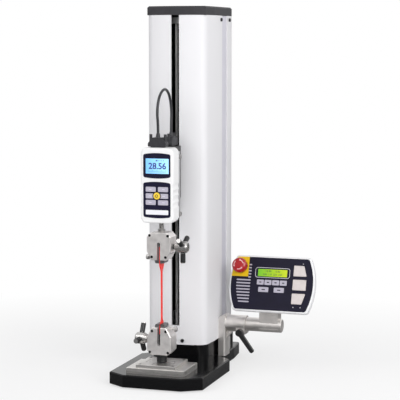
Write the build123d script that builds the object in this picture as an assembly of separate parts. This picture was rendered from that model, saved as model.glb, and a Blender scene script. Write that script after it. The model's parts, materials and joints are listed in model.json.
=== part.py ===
from build123d import *
import math
import os

# Tensile force tester. Millimetres, +X right, +Y to the rear, +Z up.
# The origin is the loading axis on the underside of the base.

# Base and its plates
BASE_T = 24.0
BASE_HALF = 95.0
BASE_FRONT = -60.7
BASE_CORNER_X = 36.0
BASE_CORNER_Y = 24.0
BASE_WIDE_END = 141.0
BASE_WAIST_START = 165.0
BASE_WAIST_HALF = 69.5
BASE_TAIL_START = 260.0
BASE_TAIL_HALF = 64.0
BASE_REAR = 314.0
BASE_BEVEL = 2.0
BENCH_SPACING_X = 140.0
BENCH_SPACING_Y = 80.0
BENCH_HOLE_R = 2.5
BENCH_HOLE_DEPTH = 14.0
FOOT_R = 9.0
FOOT_PROUD = 3.0
FOOT_SEAT = 2.0
FOOT_INSET = 15.0
PLATE_X = 117.0
PLATE_Y = 84.0
PLATE_T = 11.0
PLATE_TOMMY_R = 2.5
PLATE_TOMMY_DEPTH = 9.0
PLATE_TOMMY_Y = 27.5
MATRIX_X = 80.0
MATRIX_Y = 77.0
MATRIX_T = 6.5
MATRIX_HOLE_R = 2.1
MATRIX_RING_R = 24.0
MATRIX_RING_COUNT = 8
MATRIX_GRID = 28.0
SCREW_HEAD_R = 3.5
SCREW_HEAD_T = 3.0
SCREW_SHANK_R = 2.0
SCREW_SHANK = 12.0
SCREW_SOCKET_DEPTH = 1.6
SCREW_INSET = 6.0

# Column, pedestal and drive
PEDESTAL_H = 36.0
PEDESTAL_FRONT = 98.0
PEDESTAL_HALF = 58.0
PEDESTAL_REAR = 290.0
COLUMN_H = 652.0
COLUMN_NOSE = 81.0
COLUMN_CORNER = 91.0
COLUMN_CORNER_HALF = 60.5
COLUMN_HALF = 63.3
COLUMN_FLANK_START = 140.0
COLUMN_BEVEL_START = 256.0
COLUMN_REAR = 294.0
COLUMN_REAR_HALF = 50.0
COLUMN_WALL = 5.0
GROOVE_START = 190.0
GROOVE_END = 225.0
GROOVE_DEPTH = 2.4
SLOT_W = 17.0
SLOT_BOTTOM = 38.0
CAP_T = 17.5
CAP_EDGE = 3.0
SCREW_R = 7.0
SCREW_Y = 124.0
RAIL_R = 5.0
RAIL_X = 32.0
RAIL_FIT = 0.05
BEARING_T = 12.0
BEARING_Y = 34.0
BEARING_X = 88.0
BEARING_LOW = 14.0
MOTOR_SIDE = 42.3
MOTOR_H = 40.0
MOTOR_LOW = 8.0
COUPLING_R = 9.5
COUPLING_GAP = 2.5
RUN_FIT = 0.05
SIDE_PLATE_X = 67.0
SIDE_PLATE_Y0 = 203.0
SIDE_PLATE_Y1 = 239.0
INLET_Y0 = 244.0
INLET_Y1 = 278.0
INLET_H = 27.0
INLET_DEPTH = 12.0
ROCKER_Z = 9.0
ROCKER_W = 15.0
ROCKER_H = 10.0

# Crosshead and gauge
HEAD_LOW = 354.0
HEAD_H = 100.0
BLOCK_X = 90.0
BLOCK_Y = 38.0
NECK_W = 15.0
ARM_W = 30.0
ARM_TOP = 458.0
ARM_LOW = 322.0
ARM_BACK = 72.0
HEAD_W = 39.0
HEAD_BACK = 31.0
NUT_R = 13.0
NUT_FLANGE_R = 17.0
NUT_FLANGE_T = 6.0
GAUGE_X = -0.5
GAUGE_W = 66.3
GAUGE_LOW = 315.2
GAUGE_H = 144.3
GAUGE_FRONT = -25.0
GAUGE_BACK = 8.8
GAUGE_SPLIT = -9.0
GAUGE_CORNER = 11.0
GAUGE_EDGE = 3.5
GAUGE_CHIN = 7.0
SCALLOP_R = 11.0
SCALLOP_LOW = 29.0
SCALLOP_PITCH = 12.0
SCALLOP_COUNT = 4
SCALLOP_DEPTH = 1.7
LABEL_T = 0.9
LABEL_PROUD = 0.4
MOUNT_T = 8.0
MOUNT_HALF = 28.0
KNOB_R = 4.0
KNOB_OUT = 4.0
SHAFT_R = 4.25
SHAFT_GRIP = 6.0
SHAFT_INSIDE = 12.0
HEX_NUT_T = 5.2
HEX_NUT_FLATS = 13.0
HEX_NUT_LOW = 296.0
DISPLAY_LOW = 88.4
DISPLAY_HIGH = 131.9
KEYPAD_LOW = 12.3
KEYPAD_HIGH = 77.2
LABEL_HALF = 27.3
LABEL_CROWN = 2.4
WINDOW_LOW = 94.8
WINDOW_H = 29.5
WINDOW_LEFT = 22.8
WINDOW_RIGHT = 24.2
BUTTON_R = 6.7
BUTTON_Z = 367.8
BUTTON_PROUD = 1.6

# Plugs and the lead between them
HOOD_W = 36.4
HOOD_T = 15.0
HOOD_H = 19.0
HOOD_SHOULDER = 8.0
HOOD_FOOT = 1.8
THUMB_R = 2.9
THUMB_OUT = 9.0
THUMB_X = 14.6
RELIEF_R = 4.6
RELIEF_TIP_R = 3.3
RELIEF_H = 8.0
GAUGE_PLUG = (-3.4, -9.0)
ARM_PLUG = (1.0, 55.0)
LEAD_R = 2.65
LEAD_ROUTE = [
    (-3.4, -9.0, 486.5),
    (-3.4, -9.0, 504.0),
    (-4.6, -11.0, 524.0),
    (-4.4, -6.5, 545.0),
    (-3.4, 6.0, 563.0),
    (-1.6, 26.0, 571.0),
    (-0.2, 43.5, 562.5),
    (0.8, 53.5, 544.5),
    (1.3, 56.8, 523.0),
    (1.0, 55.0, 503.0),
    (1.0, 55.0, 485.0),
]

# Wedge grips, each in its own frame: z = 0 is the jaw edge, the body stands above it
GRIP_H = 53.0
GRIP_HALF = 24.0
GRIP_MOUTH_HALF = 14.5
GRIP_SHOULDER = 17.5
GRIP_CROWN = 45.0
GRIP_CROWN_HALF = 16.5
GRIP_FRONT = -18.5
GRIP_BACK = 18.5
COVER_T = 6.0
GRIP_WALL = 5.0
GRIP_ROOF = 6.0
COVER_SLOT_W = 6.0
COVER_SLOT_TOP = 34.6
WEDGE_ANGLE = 12.0
CHANNEL_MOUTH = 10.5
CHANNEL_MAX = 17.2
JAW_FIT = 0.12
JAW_TIP = -6.5
JAW_TOP = 33.7
JAW_FACE = 1.0
JAW_HALF_Y = 12.3
LIFT = 8.0
HANDLE_Z = 25.3
HANDLE_Y = 1.0
RACK_X0 = 17.6
RACK_X1 = 21.6
RACK_BACK = -9.2
RACK_LOW = 12.6
YOKE_LOW = 34.0
YOKE_T = 4.0
YOKE_HALF_Y = 6.0
TONGUE_T = 2.4
TONGUE_LOW = 28.0
TONGUE_HALF_Y = 4.5
TONGUE_NECK_HALF_Y = 2.2
TONGUE_FIT = 0.2
GEAR_MODULE = 0.8
GEAR_TEETH = 14
GEAR_ADDENDUM = 0.7
GEAR_DEDENDUM = 0.9
GEAR_PRESSURE = 25.0
GEAR_BACKLASH = 0.14
SPINDLE_R = 3.0
COLLAR_R = 5.0
HUB_START = 27.0
HUB_END = 53.5
HUB_R = 11.3
HUB_NECK_R = 6.5
HUB_FLARE = 36.0
SPOKE_X = 43.0
SPOKE_END = 31.0
SPOKE_R = 2.6
SPOKE_TIP_R = 4.4
SPOKE_TIP_T = 1.6
SLEEVE_R = 5.0
SLEEVE_START = 12.0
COVER_SCREW_R = 2.6
COVER_SCREW_SHANK_R = 1.2
COVER_SCREW_SHANK = 11.0
COVER_SCREW_HIGH = (18.4, 47.8)
COVER_SCREW_LOW = (13.9, 6.4)
PIN_Z = 3.8
PIN_OUT = 31.0
PIN_HEAD_T = 6.0
PIN_HEAD_R = 5.0
PIN_R = 2.0
UPPER_JAW_EDGE = 242.7
LOWER_JAW_EDGE = 111.0
LOWER_HANDLE_TURN = -28.5
LOCKNUT_R = 10.0
STUD_R = 4.0
SPECIMEN_W = 24.0
SPECIMEN_NECK = 6.0
SPECIMEN_LOW = 98.0
SPECIMEN_HIGH = 268.0
SPECIMEN_NECK_LOW = 126.0
SPECIMEN_NECK_HIGH = 218.0
SPECIMEN_TAPER = 14.0

# Panel arm and panel
AXIS_Y = 183.0
AXIS_Z = 90.0
TILT = 19.0
LEG_X1 = 78.0
LEG_Y0 = 166.0
LEG_Y1 = 200.0
ARM_R = 17.0
ARM_SEAM = 119.0
ARM_BORE_R = 9.0
LUG_LOW = 7.5
LUG_X0 = 100.0
LUG_HALF_Y = 16.0
LUG_SLIT = 2.4
LEVER_X = 109.5
LEVER_Z = 75.2
LEVER_HUB_R = 7.0
LEVER_HUB_T = 12.0
LEVER_DX = 26.2
LEVER_DZ = -35.7
LEVER_END_R = 3.9
LEVER_BORE_R = 3.0
BARREL_R = 14.0
BARREL_END = 193.0
HEADBLOCK_X0 = 148.0
HEADBLOCK_X1 = 187.0
PANEL_X = 175.0
PANEL_UP = 76.7
PANEL_FRONT = 44.6
PANEL_BACK = 19.6
PANEL_SPLIT = 33.0
PANEL_HALF = 76.5
PANEL_BOW = 88.3
PANEL_HALF_H = 56.8
LABEL_MARGIN = 3.4
KEY_GAP = 0.35
BIG_KEY_X0 = 43.5
BIG_KEY_X1 = 67.5
BIG_KEY_H = 21.4
BIG_KEY_PITCH = 28.2
BIG_KEY_Z = 0.6
BIG_KEY_SLANT = 3.2
STOP_X = -66.0
STOP_Z = 33.0
STOP_PLATE_W = 34.0
STOP_PLATE_H = 40.0
STOP_R = 15.2
STOP_NECK_R = 8.5
STOP_OUT = 23.0
STOP_TRAVEL = 4.0

# Values that follow from the sizes above
PLATE_TOP = BASE_T + PLATE_T
MATRIX_TOP = PLATE_TOP + MATRIX_T
COLUMN_LOW = BASE_T + PEDESTAL_H
COLUMN_TOP = COLUMN_LOW + COLUMN_H
SLOPE = math.tan(math.radians(WEDGE_ANGLE))
PITCH_R = GEAR_MODULE * GEAR_TEETH / 2
TOP_BEARING_LOW = COLUMN_TOP - BEARING_T - 4.0
LOW_BEARING_LOW = COLUMN_LOW + BEARING_LOW


def block(x0, x1, y0, y1, z0, z1):
    return Pos((x0 + x1) / 2, (y0 + y1) / 2, (z0 + z1) / 2) * Box(x1 - x0, y1 - y0, z1 - z0)


def rod(radius, start, end):
    start, end = Vector(*start), Vector(*end)
    axis = end - start
    return extrude(Plane(origin=start, z_dir=axis) * Circle(radius), axis.length)


def prism(points, direction, depth):
    return extrude(make_face(Polyline(*points, close=True)), amount=depth, dir=direction)


def mirrored(points):
    return points + [(-x, y) for x, y in reversed(points)]


def turned(profile, start, direction):
    """Revolve (distance along the axis, radius) pairs about the axis from start."""
    face = make_face(Polyline(*[(r, d) for d, r in profile], close=True))
    solid = revolve(Plane.XZ * face, Axis.Z)
    return Plane(origin=start, z_dir=direction) * solid


def cap_screw(head_r, head_t, shank_r, shank):
    """Cap screw hanging from z = 0, the seat of its head, with a hexagon socket."""
    body = turned([(-shank, 0), (-shank, shank_r), (0, shank_r), (0, head_r), (head_t - 0.5, head_r),
                   (head_t, head_r - 0.5), (head_t, 0)], (0, 0, 0), (0, 0, 1))
    socket = Pos(0, 0, head_t - SCREW_SOCKET_DEPTH) * extrude(RegularPolygon(head_r / 2, 6), head_t)
    return body - socket


def screw_seat(head_r, head_t, shank_r, shank):
    return rod(shank_r, (0, 0, -shank), (0, 0, 0.1)) + rod(head_r + 0.3, (0, 0, 0), (0, 0, head_t + 20))


# Base

def base_outline():
    return mirrored([
        (BASE_HALF - BASE_CORNER_X, BASE_FRONT),
        (BASE_HALF, BASE_FRONT + BASE_CORNER_Y),
        (BASE_HALF, BASE_WIDE_END),
        (BASE_WAIST_HALF, BASE_WAIST_START),
        (BASE_WAIST_HALF, BASE_TAIL_START),
        (BASE_TAIL_HALF, BASE_REAR),
    ])


def foot_places():
    front = BASE_HALF - FOOT_INSET
    rear = BASE_TAIL_HALF - FOOT_INSET
    return [(side * x, y) for side in (-1, 1)
            for x, y in ((front, BASE_WIDE_END - FOOT_INSET), (front, 0), (rear, BASE_REAR - FOOT_INSET))]


def bench_places():
    return [(sx * BENCH_SPACING_X / 2, sy * BENCH_SPACING_Y / 2) for sx in (-1, 1) for sy in (-1, 1)]


def plate_screw_places():
    x = MATRIX_X / 2 - SCREW_INSET
    y = MATRIX_Y / 2 - SCREW_INSET
    return [(sx * x, sy * y) for sx in (-1, 1) for sy in (-1, 1)]


def motor_pocket(clearance):
    half = MOTOR_SIDE / 2 + clearance
    return block(-half, half, SCREW_Y - half, SCREW_Y + half, MOTOR_LOW - clearance, COLUMN_LOW + 1)


def base_casting():
    body = prism([(x, y, 0) for x, y in base_outline()], (0, 0, 1), BASE_T)
    top = body.faces().sort_by(Axis.Z)[-1]
    body = chamfer(top.edges(), BASE_BEVEL)
    for x, y in foot_places():
        body -= rod(FOOT_R, (x, y, -1), (x, y, FOOT_SEAT))
    for x, y in bench_places():
        body -= rod(BENCH_HOLE_R, (x, y, -1), (x, y, BENCH_HOLE_DEPTH))
    return body - motor_pocket(0.3)


def rubber_feet():
    foot = turned([(-FOOT_PROUD, 0), (-FOOT_PROUD, FOOT_R - 1.5), (0, FOOT_R - 0.1), (FOOT_SEAT, FOOT_R - 0.1),
                   (FOOT_SEAT, 0)], (0, 0, 0), (0, 0, 1))
    return [Pos(x, y, 0) * foot for x, y in foot_places()]


def base_plate():
    plate = block(-PLATE_X / 2, PLATE_X / 2, -PLATE_Y / 2, PLATE_Y / 2, BASE_T, PLATE_TOP)
    plate = chamfer(plate.faces().sort_by(Axis.Z)[-1].edges(), 0.8)
    for side in (-1, 1):
        for y in (-PLATE_TOMMY_Y, PLATE_TOMMY_Y):
            start = (side * (PLATE_X / 2 - PLATE_TOMMY_DEPTH), y, BASE_T + PLATE_T / 2)
            plate -= rod(PLATE_TOMMY_R, start, (side * PLATE_X, y, BASE_T + PLATE_T / 2))
    for x, y in plate_screw_places():
        plate -= rod(SCREW_SHANK_R + 0.05, (x, y, PLATE_TOP - SCREW_SHANK), (x, y, PLATE_TOP + 1))
    return plate - rod(STUD_R + 0.05, (0, 0, BASE_T + 3), (0, 0, PLATE_TOP + 1))


def matrix_holes():
    ring = [(MATRIX_RING_R * math.cos(turn), MATRIX_RING_R * math.sin(turn))
            for turn in (math.radians(360 * (i + 0.5) / MATRIX_RING_COUNT) for i in range(MATRIX_RING_COUNT))]
    grid = [(sx * MATRIX_GRID, sy * 10.0) for sx in (-1, 1) for sy in (-1, 0, 1)]
    rows = [(sx * 10.0, sy * MATRIX_GRID) for sx in (-1, 0, 1) for sy in (-1, 1)]
    return ring + grid + rows


def matrix_plate():
    plate = block(-MATRIX_X / 2, MATRIX_X / 2, -MATRIX_Y / 2, MATRIX_Y / 2, PLATE_TOP, MATRIX_TOP)
    plate = chamfer(plate.faces().sort_by(Axis.Z)[-1].edges(), 0.6)
    for x, y in matrix_holes():
        plate -= rod(MATRIX_HOLE_R, (x, y, PLATE_TOP - 1), (x, y, MATRIX_TOP + 1))
    seat = screw_seat(SCREW_HEAD_R, SCREW_HEAD_T, SCREW_SHANK_R + 0.05, SCREW_SHANK)
    for x, y in plate_screw_places():
        plate -= Pos(x, y, MATRIX_TOP - SCREW_HEAD_T - 0.4) * seat
    return plate - rod(STUD_R + 0.05, (0, 0, PLATE_TOP - 1), (0, 0, MATRIX_TOP + 1))


# Column, pedestal and drive

def column_profile(inset):
    """Face of the column's section: bowed front, straight flanks, bevelled rear corners."""
    nose = COLUMN_NOSE + inset
    corner = COLUMN_CORNER + inset
    front_half = COLUMN_CORNER_HALF - inset
    half = COLUMN_HALF - inset
    rear = COLUMN_REAR - inset
    rear_half = COLUMN_REAR_HALF - inset * 0.8
    side = [(front_half, corner), (half, COLUMN_FLANK_START), (half, COLUMN_BEVEL_START), (rear_half, rear)]
    back = Polyline(*side, *[(-x, y) for x, y in reversed(side)])
    bow = ThreePointArc((-front_half, corner), (0, nose), (front_half, corner))
    return make_face(Wire([*back.edges(), bow.edge()]))


def column_extrusion():
    shell = extrude(column_profile(0), COLUMN_H) - extrude(column_profile(COLUMN_WALL), COLUMN_H)
    for side in (-1, 1):
        x0, x1 = sorted((side * (COLUMN_HALF - GROOVE_DEPTH), side * (COLUMN_HALF + 1)))
        shell -= block(x0, x1, GROOVE_START, GROOVE_END, -1, COLUMN_H + 1)
    half = SLOT_W / 2
    reach = COLUMN_CORNER + COLUMN_WALL
    shell -= block(-half, half, COLUMN_NOSE - 1, reach, SLOT_BOTTOM + half, COLUMN_H + 1)
    shell -= rod(half, (0, COLUMN_NOSE - 1, SLOT_BOTTOM + half), (0, reach, SLOT_BOTTOM + half))
    shell = Pos(0, 0, COLUMN_LOW) * shell
    for place in column_screw_places():
        shell -= place * screw_seat(SCREW_HEAD_R, SCREW_HEAD_T, SCREW_SHANK_R + 0.05, SCREW_SHANK)
    return shell


def column_screw_places():
    front_y = COLUMN_NOSE + 0.6
    places = [Plane(origin=(side * 14.7, front_y, COLUMN_LOW + 8.3), z_dir=(0, -1, 0)) for side in (-1, 1)]
    places += [Plane(origin=(side * COLUMN_HALF, y, COLUMN_TOP - 8.0), z_dir=(side, 0, 0))
               for side in (-1, 1) for y in (181.0, 238.0)]
    return places


def frame_screws():
    screw = cap_screw(SCREW_HEAD_R, SCREW_HEAD_T, SCREW_SHANK_R, SCREW_SHANK)
    screws = [Pos(x, y, MATRIX_TOP - SCREW_HEAD_T - 0.4) * screw for x, y in plate_screw_places()]
    return screws + [place * screw for place in column_screw_places()]


def column_cap():
    lid = extrude(Pos(0, 0, COLUMN_TOP) * column_profile(0), CAP_T)
    return chamfer(lid.faces().sort_by(Axis.Z)[-1].edges(), CAP_EDGE)


def pedestal():
    body = block(-PEDESTAL_HALF, PEDESTAL_HALF, PEDESTAL_FRONT, PEDESTAL_REAR, BASE_T, COLUMN_LOW)
    body -= motor_pocket(0.3)
    bay_x = PEDESTAL_HALF - INLET_DEPTH
    return body - block(bay_x, PEDESTAL_HALF + 1, INLET_Y0, INLET_Y1, BASE_T, BASE_T + INLET_H)


def side_plate():
    plate = block(PEDESTAL_HALF, SIDE_PLATE_X, SIDE_PLATE_Y0, SIDE_PLATE_Y1, BASE_T, COLUMN_LOW)
    return chamfer(plate.faces().sort_by(Axis.X)[-1].edges(), 1.0)


def rocker_box(clearance):
    y = (INLET_Y0 + INLET_Y1) / 2 - 8.0
    z = BASE_T + ROCKER_Z + 4.0
    x = PEDESTAL_HALF - 4.0
    return block(x - 6 - clearance, x + 3, y - ROCKER_H / 2 - clearance, y + ROCKER_H / 2 + clearance,
                 z - ROCKER_W / 2 - clearance, z + ROCKER_W / 2 + clearance)


def power_inlet():
    """Moulded inlet block in the pedestal's bay, with a round jack socket and the switch opening."""
    body = block(PEDESTAL_HALF - INLET_DEPTH, PEDESTAL_HALF - 4.0, INLET_Y0, INLET_Y1, BASE_T, BASE_T + INLET_H)
    jack_y = INLET_Y1 - 9.0
    jack_z = BASE_T + INLET_H / 2
    ring = rod(6.0, (PEDESTAL_HALF - 4.5, jack_y, jack_z), (PEDESTAL_HALF - 1.5, jack_y, jack_z))
    body = body + ring - rod(4.0, (PEDESTAL_HALF - 10, jack_y, jack_z), (PEDESTAL_HALF, jack_y, jack_z))
    body += rod(1.2, (PEDESTAL_HALF - 10.5, jack_y, jack_z), (PEDESTAL_HALF - 2.5, jack_y, jack_z))
    return body - rocker_box(0.4)


def rocker_centre():
    box = rocker_box(0).bounding_box()
    return (PEDESTAL_HALF - 6.0, box.center().Y, box.center().Z)


def power_rocker():
    """Switch rocker: a shallow V seen end on, pivoting on its middle."""
    x, y, z = rocker_centre()
    half = ROCKER_W / 2 - 0.5
    points = [(x - 3, 0, z - 3), (x - 3, 0, z + 3), (x + 1.6, 0, z + half), (x + 3.6, 0, z + half - 0.8),
              (x + 2.0, 0, z), (x + 3.6, 0, z - half + 0.8), (x + 1.6, 0, z - half)]
    return prism([(px, y - ROCKER_H / 2 + 0.3, pz) for px, py, pz in points], (0, 1, 0), ROCKER_H - 0.6)


def guide_rails():
    low = LOW_BEARING_LOW + 3
    high = TOP_BEARING_LOW + BEARING_T - 3
    return [rod(RAIL_R, (side * RAIL_X, SCREW_Y, low), (side * RAIL_X, SCREW_Y, high)) for side in (-1, 1)]


def screw_bearings():
    """Cross blocks at the two ends of the column's inside, holding the rails and the lead screw."""
    blocks = []
    for low, rail_low, rail_high in ((LOW_BEARING_LOW, 3, BEARING_T + 1), (TOP_BEARING_LOW, -1, BEARING_T - 3)):
        y0 = SCREW_Y - BEARING_Y / 2
        piece = block(-BEARING_X / 2, BEARING_X / 2, y0, y0 + BEARING_Y, low, low + BEARING_T)
        piece -= rod(SCREW_R + RUN_FIT, (0, SCREW_Y, low - 1), (0, SCREW_Y, low + BEARING_T + 1))
        for side in (-1, 1):
            x = side * RAIL_X
            piece -= rod(RAIL_R, (x, SCREW_Y, low + rail_low), (x, SCREW_Y, low + rail_high))
            wall = side * (COLUMN_HALF - COLUMN_WALL)
            x0, x1 = sorted((side * BEARING_X / 2, wall))
            piece += block(x0, x1, SCREW_Y + 6, SCREW_Y + 14, low, low + BEARING_T)
        inside = Pos(0, 0, low) * extrude(column_profile(COLUMN_WALL), BEARING_T)
        blocks.append(piece & inside)
    return blocks


def drive_motor():
    half = MOTOR_SIDE / 2
    body = block(-half, half, SCREW_Y - half, SCREW_Y + half, MOTOR_LOW, MOTOR_LOW + MOTOR_H)
    body = chamfer(body.edges().filter_by(Axis.Z), 4.0)
    boss = rod(11.0, (0, SCREW_Y, MOTOR_LOW + MOTOR_H), (0, SCREW_Y, MOTOR_LOW + MOTOR_H + 1.6))
    return body + boss


def lead_screw():
    """Lead screw with its turned journals and the clamp coupling that the motor drives."""
    motor_top = MOTOR_LOW + MOTOR_H
    coupling_low = motor_top + COUPLING_GAP
    coupling_high = LOW_BEARING_LOW - 1.0
    profile = [(coupling_low, 0), (coupling_low, COUPLING_R), (coupling_high, COUPLING_R), (coupling_high, SCREW_R),
               (COLUMN_TOP - 4.5, SCREW_R), (COLUMN_TOP - 3.5, SCREW_R - 1), (COLUMN_TOP - 3.5, 0)]
    screw = turned(profile, (0, SCREW_Y, 0), (0, 0, 1))
    for side in (-1, 1):
        screw -= rod(1.6, (side * 6.5, SCREW_Y, coupling_low + 5), (side * 6.5, SCREW_Y - COUPLING_R, coupling_low + 5))
    slit = block(-COUPLING_R, COUPLING_R, SCREW_Y - 0.5, SCREW_Y + 0.5, coupling_low - 1, coupling_low + 9)
    return screw - slit


# Crosshead

def crosshead_block():
    high = HEAD_LOW + HEAD_H
    y0 = SCREW_Y - BLOCK_Y / 2
    body = block(-BLOCK_X / 2, BLOCK_X / 2, y0, y0 + BLOCK_Y, HEAD_LOW, high)
    body = chamfer(body.edges().filter_by(Axis.Z), 3.0)
    body += block(-NECK_W / 2, NECK_W / 2, ARM_BACK - 1, y0 + 1, HEAD_LOW + 4, high - 4)
    arm = [(HEAD_BACK - 1, ARM_LOW), (HEAD_BACK - 1, ARM_TOP), (ARM_BACK, ARM_TOP), (ARM_BACK, HEAD_LOW + 4),
           (HEAD_BACK + 14, ARM_LOW)]
    body += prism([(-ARM_W / 2, y, z) for y, z in arm], (1, 0, 0), ARM_W)
    face_y = GAUGE_BACK + MOUNT_T
    head = block(-HEAD_W / 2, HEAD_W / 2, face_y, HEAD_BACK, ARM_LOW - 2, ARM_TOP - 8)
    body += chamfer(head.edges().filter_by(Axis.X), 2.0)
    body -= rod(SCREW_R + 1.0, (0, SCREW_Y, HEAD_LOW - 1), (0, SCREW_Y, high + 1))
    body -= rod(NUT_R + 0.05, (0, SCREW_Y, HEAD_LOW - 1), (0, SCREW_Y, HEAD_LOW + 24))
    for side in (-1, 1):
        x = side * RAIL_X
        body -= rod(RAIL_R + RAIL_FIT, (x, SCREW_Y, HEAD_LOW - 1), (x, SCREW_Y, high + 1))
    return body


def screw_nut():
    low = HEAD_LOW - NUT_FLANGE_T
    nut = rod(NUT_FLANGE_R, (0, SCREW_Y, low), (0, SCREW_Y, HEAD_LOW)) + rod(NUT_R, (0, SCREW_Y, low),
                                                                             (0, SCREW_Y, HEAD_LOW + 22))
    return nut - rod(SCREW_R + RUN_FIT, (0, SCREW_Y, low - 1), (0, SCREW_Y, HEAD_LOW + 23))


def gauge_mount():
    """U-shaped adapter: a plate behind the gauge whose two ears clasp the arm's head."""
    low = ARM_LOW
    high = ARM_TOP - 8
    mount = block(-MOUNT_HALF, MOUNT_HALF, GAUGE_BACK, GAUGE_BACK + MOUNT_T, low, high)
    for side in (-1, 1):
        x0, x1 = sorted((side * (HEAD_W / 2 + 0.2), side * MOUNT_HALF))
        mount += block(x0, x1, GAUGE_BACK + MOUNT_T - 1, HEAD_BACK - 1, low, high)
        for z in knob_heights():
            y = (GAUGE_BACK + MOUNT_T + HEAD_BACK) / 2
            mount -= rod(2.0, (side * (HEAD_W / 2 - 1), y, z), (side * (MOUNT_HALF + 1), y, z))
    return mount


def knob_heights():
    return (GAUGE_LOW + 10.8 + 3.2, GAUGE_LOW + GAUGE_H - 19.5)


def mount_knobs():
    y = (GAUGE_BACK + MOUNT_T + HEAD_BACK) / 2
    knobs = []
    for side in (-1, 1):
        for z in knob_heights():
            head = rod(KNOB_R, (side * MOUNT_HALF, y, z), (side * (MOUNT_HALF + KNOB_OUT), y, z))
            knobs.append(head + rod(1.9, (side * (HEAD_W / 2 + 0.3), y, z), (side * MOUNT_HALF, y, z)))
    return knobs


# Gauge

def gauge_body(y0, y1):
    high = GAUGE_LOW + GAUGE_H
    face = Pos(GAUGE_X, (GAUGE_LOW + high) / 2) * RectangleRounded(GAUGE_W, GAUGE_H, GAUGE_CORNER)
    return extrude(Plane.XZ.offset(-y0) * face, -(y1 - y0))


def with_finger_grips(case):
    """Cut the four shallow scallops into each side, and slope the chin to the rear."""
    for side in (-1, 1):
        x = GAUGE_X + side * (GAUGE_W / 2 + SCALLOP_R - SCALLOP_DEPTH)
        for i in range(SCALLOP_COUNT):
            z = GAUGE_LOW + SCALLOP_LOW + (i + 0.5) * SCALLOP_PITCH
            case -= rod(SCALLOP_R, (x, GAUGE_FRONT - 1, z), (x, GAUGE_BACK + 1, z))
    chin = [(GAUGE_SPLIT, GAUGE_LOW - 1), (GAUGE_BACK + 1, GAUGE_LOW - 1), (GAUGE_BACK + 1, GAUGE_LOW + GAUGE_CHIN)]
    return case - prism([(GAUGE_X - GAUGE_W, y, z) for y, z in chin], (1, 0, 0), 2 * GAUGE_W)


def gauge_front_case():
    case = gauge_body(GAUGE_FRONT, GAUGE_SPLIT)
    case = with_finger_grips(fillet(case.faces().sort_by(Axis.Y)[0].edges(), GAUGE_EDGE))
    for piece in gauge_label_solids(0.0, 0.15):
        case -= piece
    return case - Pos(GAUGE_X, GAUGE_FRONT, BUTTON_Z) * rod(BUTTON_R + 0.4, (0, -5, 0), (0, 6, 0))


def gauge_rear_case():
    case = gauge_body(GAUGE_SPLIT, GAUGE_BACK)
    case = with_finger_grips(chamfer(case.faces().sort_by(Axis.Y)[-1].edges(), 1.5))
    return case - rod(SHAFT_R + 0.6, (0, 0, GAUGE_LOW - 2), (0, 0, GAUGE_LOW + SHAFT_INSIDE + 1))


def lens_outline(half, low, high, crown):
    """Outline with straight sides and gently arched top and bottom, in the XZ plane."""
    x = GAUGE_X
    top = ThreePointArc((x - half, high), (x, high + crown), (x + half, high))
    bottom = ThreePointArc((x + half, low), (x, low - crown), (x - half, low))
    right = Line((x + half, high), (x + half, low))
    left = Line((x - half, low), (x - half, high))
    face = make_face([top.edge(), right.edge(), bottom.edge(), left.edge()])
    return fillet(face.vertices(), 4.0)


def gauge_label_solids(proud, grow):
    y_front = GAUGE_FRONT - proud
    depth = LABEL_T + proud if not grow else LABEL_T + 5
    y_start = y_front if not grow else GAUGE_FRONT - 5
    solids = []
    for low, high in ((DISPLAY_LOW, DISPLAY_HIGH), (KEYPAD_LOW, KEYPAD_HIGH)):
        face = lens_outline(LABEL_HALF + grow, GAUGE_LOW + low - grow, GAUGE_LOW + high + grow, LABEL_CROWN)
        solids.append(extrude(Plane.XZ.offset(-y_start) * face, -depth))
    return solids


def gauge_key_places():
    """Centres and sizes of the six embossed keys round the round button."""
    keys = []
    for row, (z, h) in enumerate(((BUTTON_Z + 12.6, 9.6), (BUTTON_Z - 0.1, 10.0), (BUTTON_Z - 12.6, 9.6))):
        for x in (-12.6, 12.2):
            inner = 3.2 if row == 1 else 0.0
            keys.append((x + (inner if x > 0 else -inner) / 2, z, 20.6 - inner, h))
    return keys


def gauge_label():
    """Printed overlays of display and keypad: screen window recessed, keys embossed."""
    display, keypad = gauge_label_solids(LABEL_PROUD, 0.0)
    y = GAUGE_FRONT - LABEL_PROUD
    low = GAUGE_LOW + WINDOW_LOW
    display -= block(GAUGE_X - WINDOW_LEFT, GAUGE_X + WINDOW_RIGHT, y - 1, y + 0.6, low, low + WINDOW_H)
    for x, z, w, h in gauge_key_places():
        key = Plane.XZ.offset(-y) * Pos(x, z) * RectangleRounded(w, h, 1.6)
        keypad += extrude(key, 0.5)
    keypad -= rod(BUTTON_R + 0.4, (GAUGE_X, y - 3, BUTTON_Z), (GAUGE_X, y + 3, BUTTON_Z))
    return [display, keypad]


def gauge_button():
    """Round yellow button, domed, with a stem into the case."""
    y = GAUGE_FRONT - LABEL_PROUD
    profile = [(-BUTTON_PROUD, 0), (-BUTTON_PROUD, BUTTON_R - 2.0), (-BUTTON_PROUD + 0.5, BUTTON_R - 0.4),
               (-BUTTON_PROUD + 1.1, BUTTON_R), (3.0, BUTTON_R), (3.0, 0)]
    return turned(profile, (GAUGE_X, y, BUTTON_Z), (0, 1, 0))


def load_shaft():
    low = UPPER_JAW_EDGE + GRIP_H - SHAFT_GRIP
    high = GAUGE_LOW + SHAFT_INSIDE
    collar = rod(SHAFT_R + 0.55, (0, 0, GAUGE_LOW + 3), (0, 0, high))
    return rod(SHAFT_R, (0, 0, low), (0, 0, high)) + collar


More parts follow.
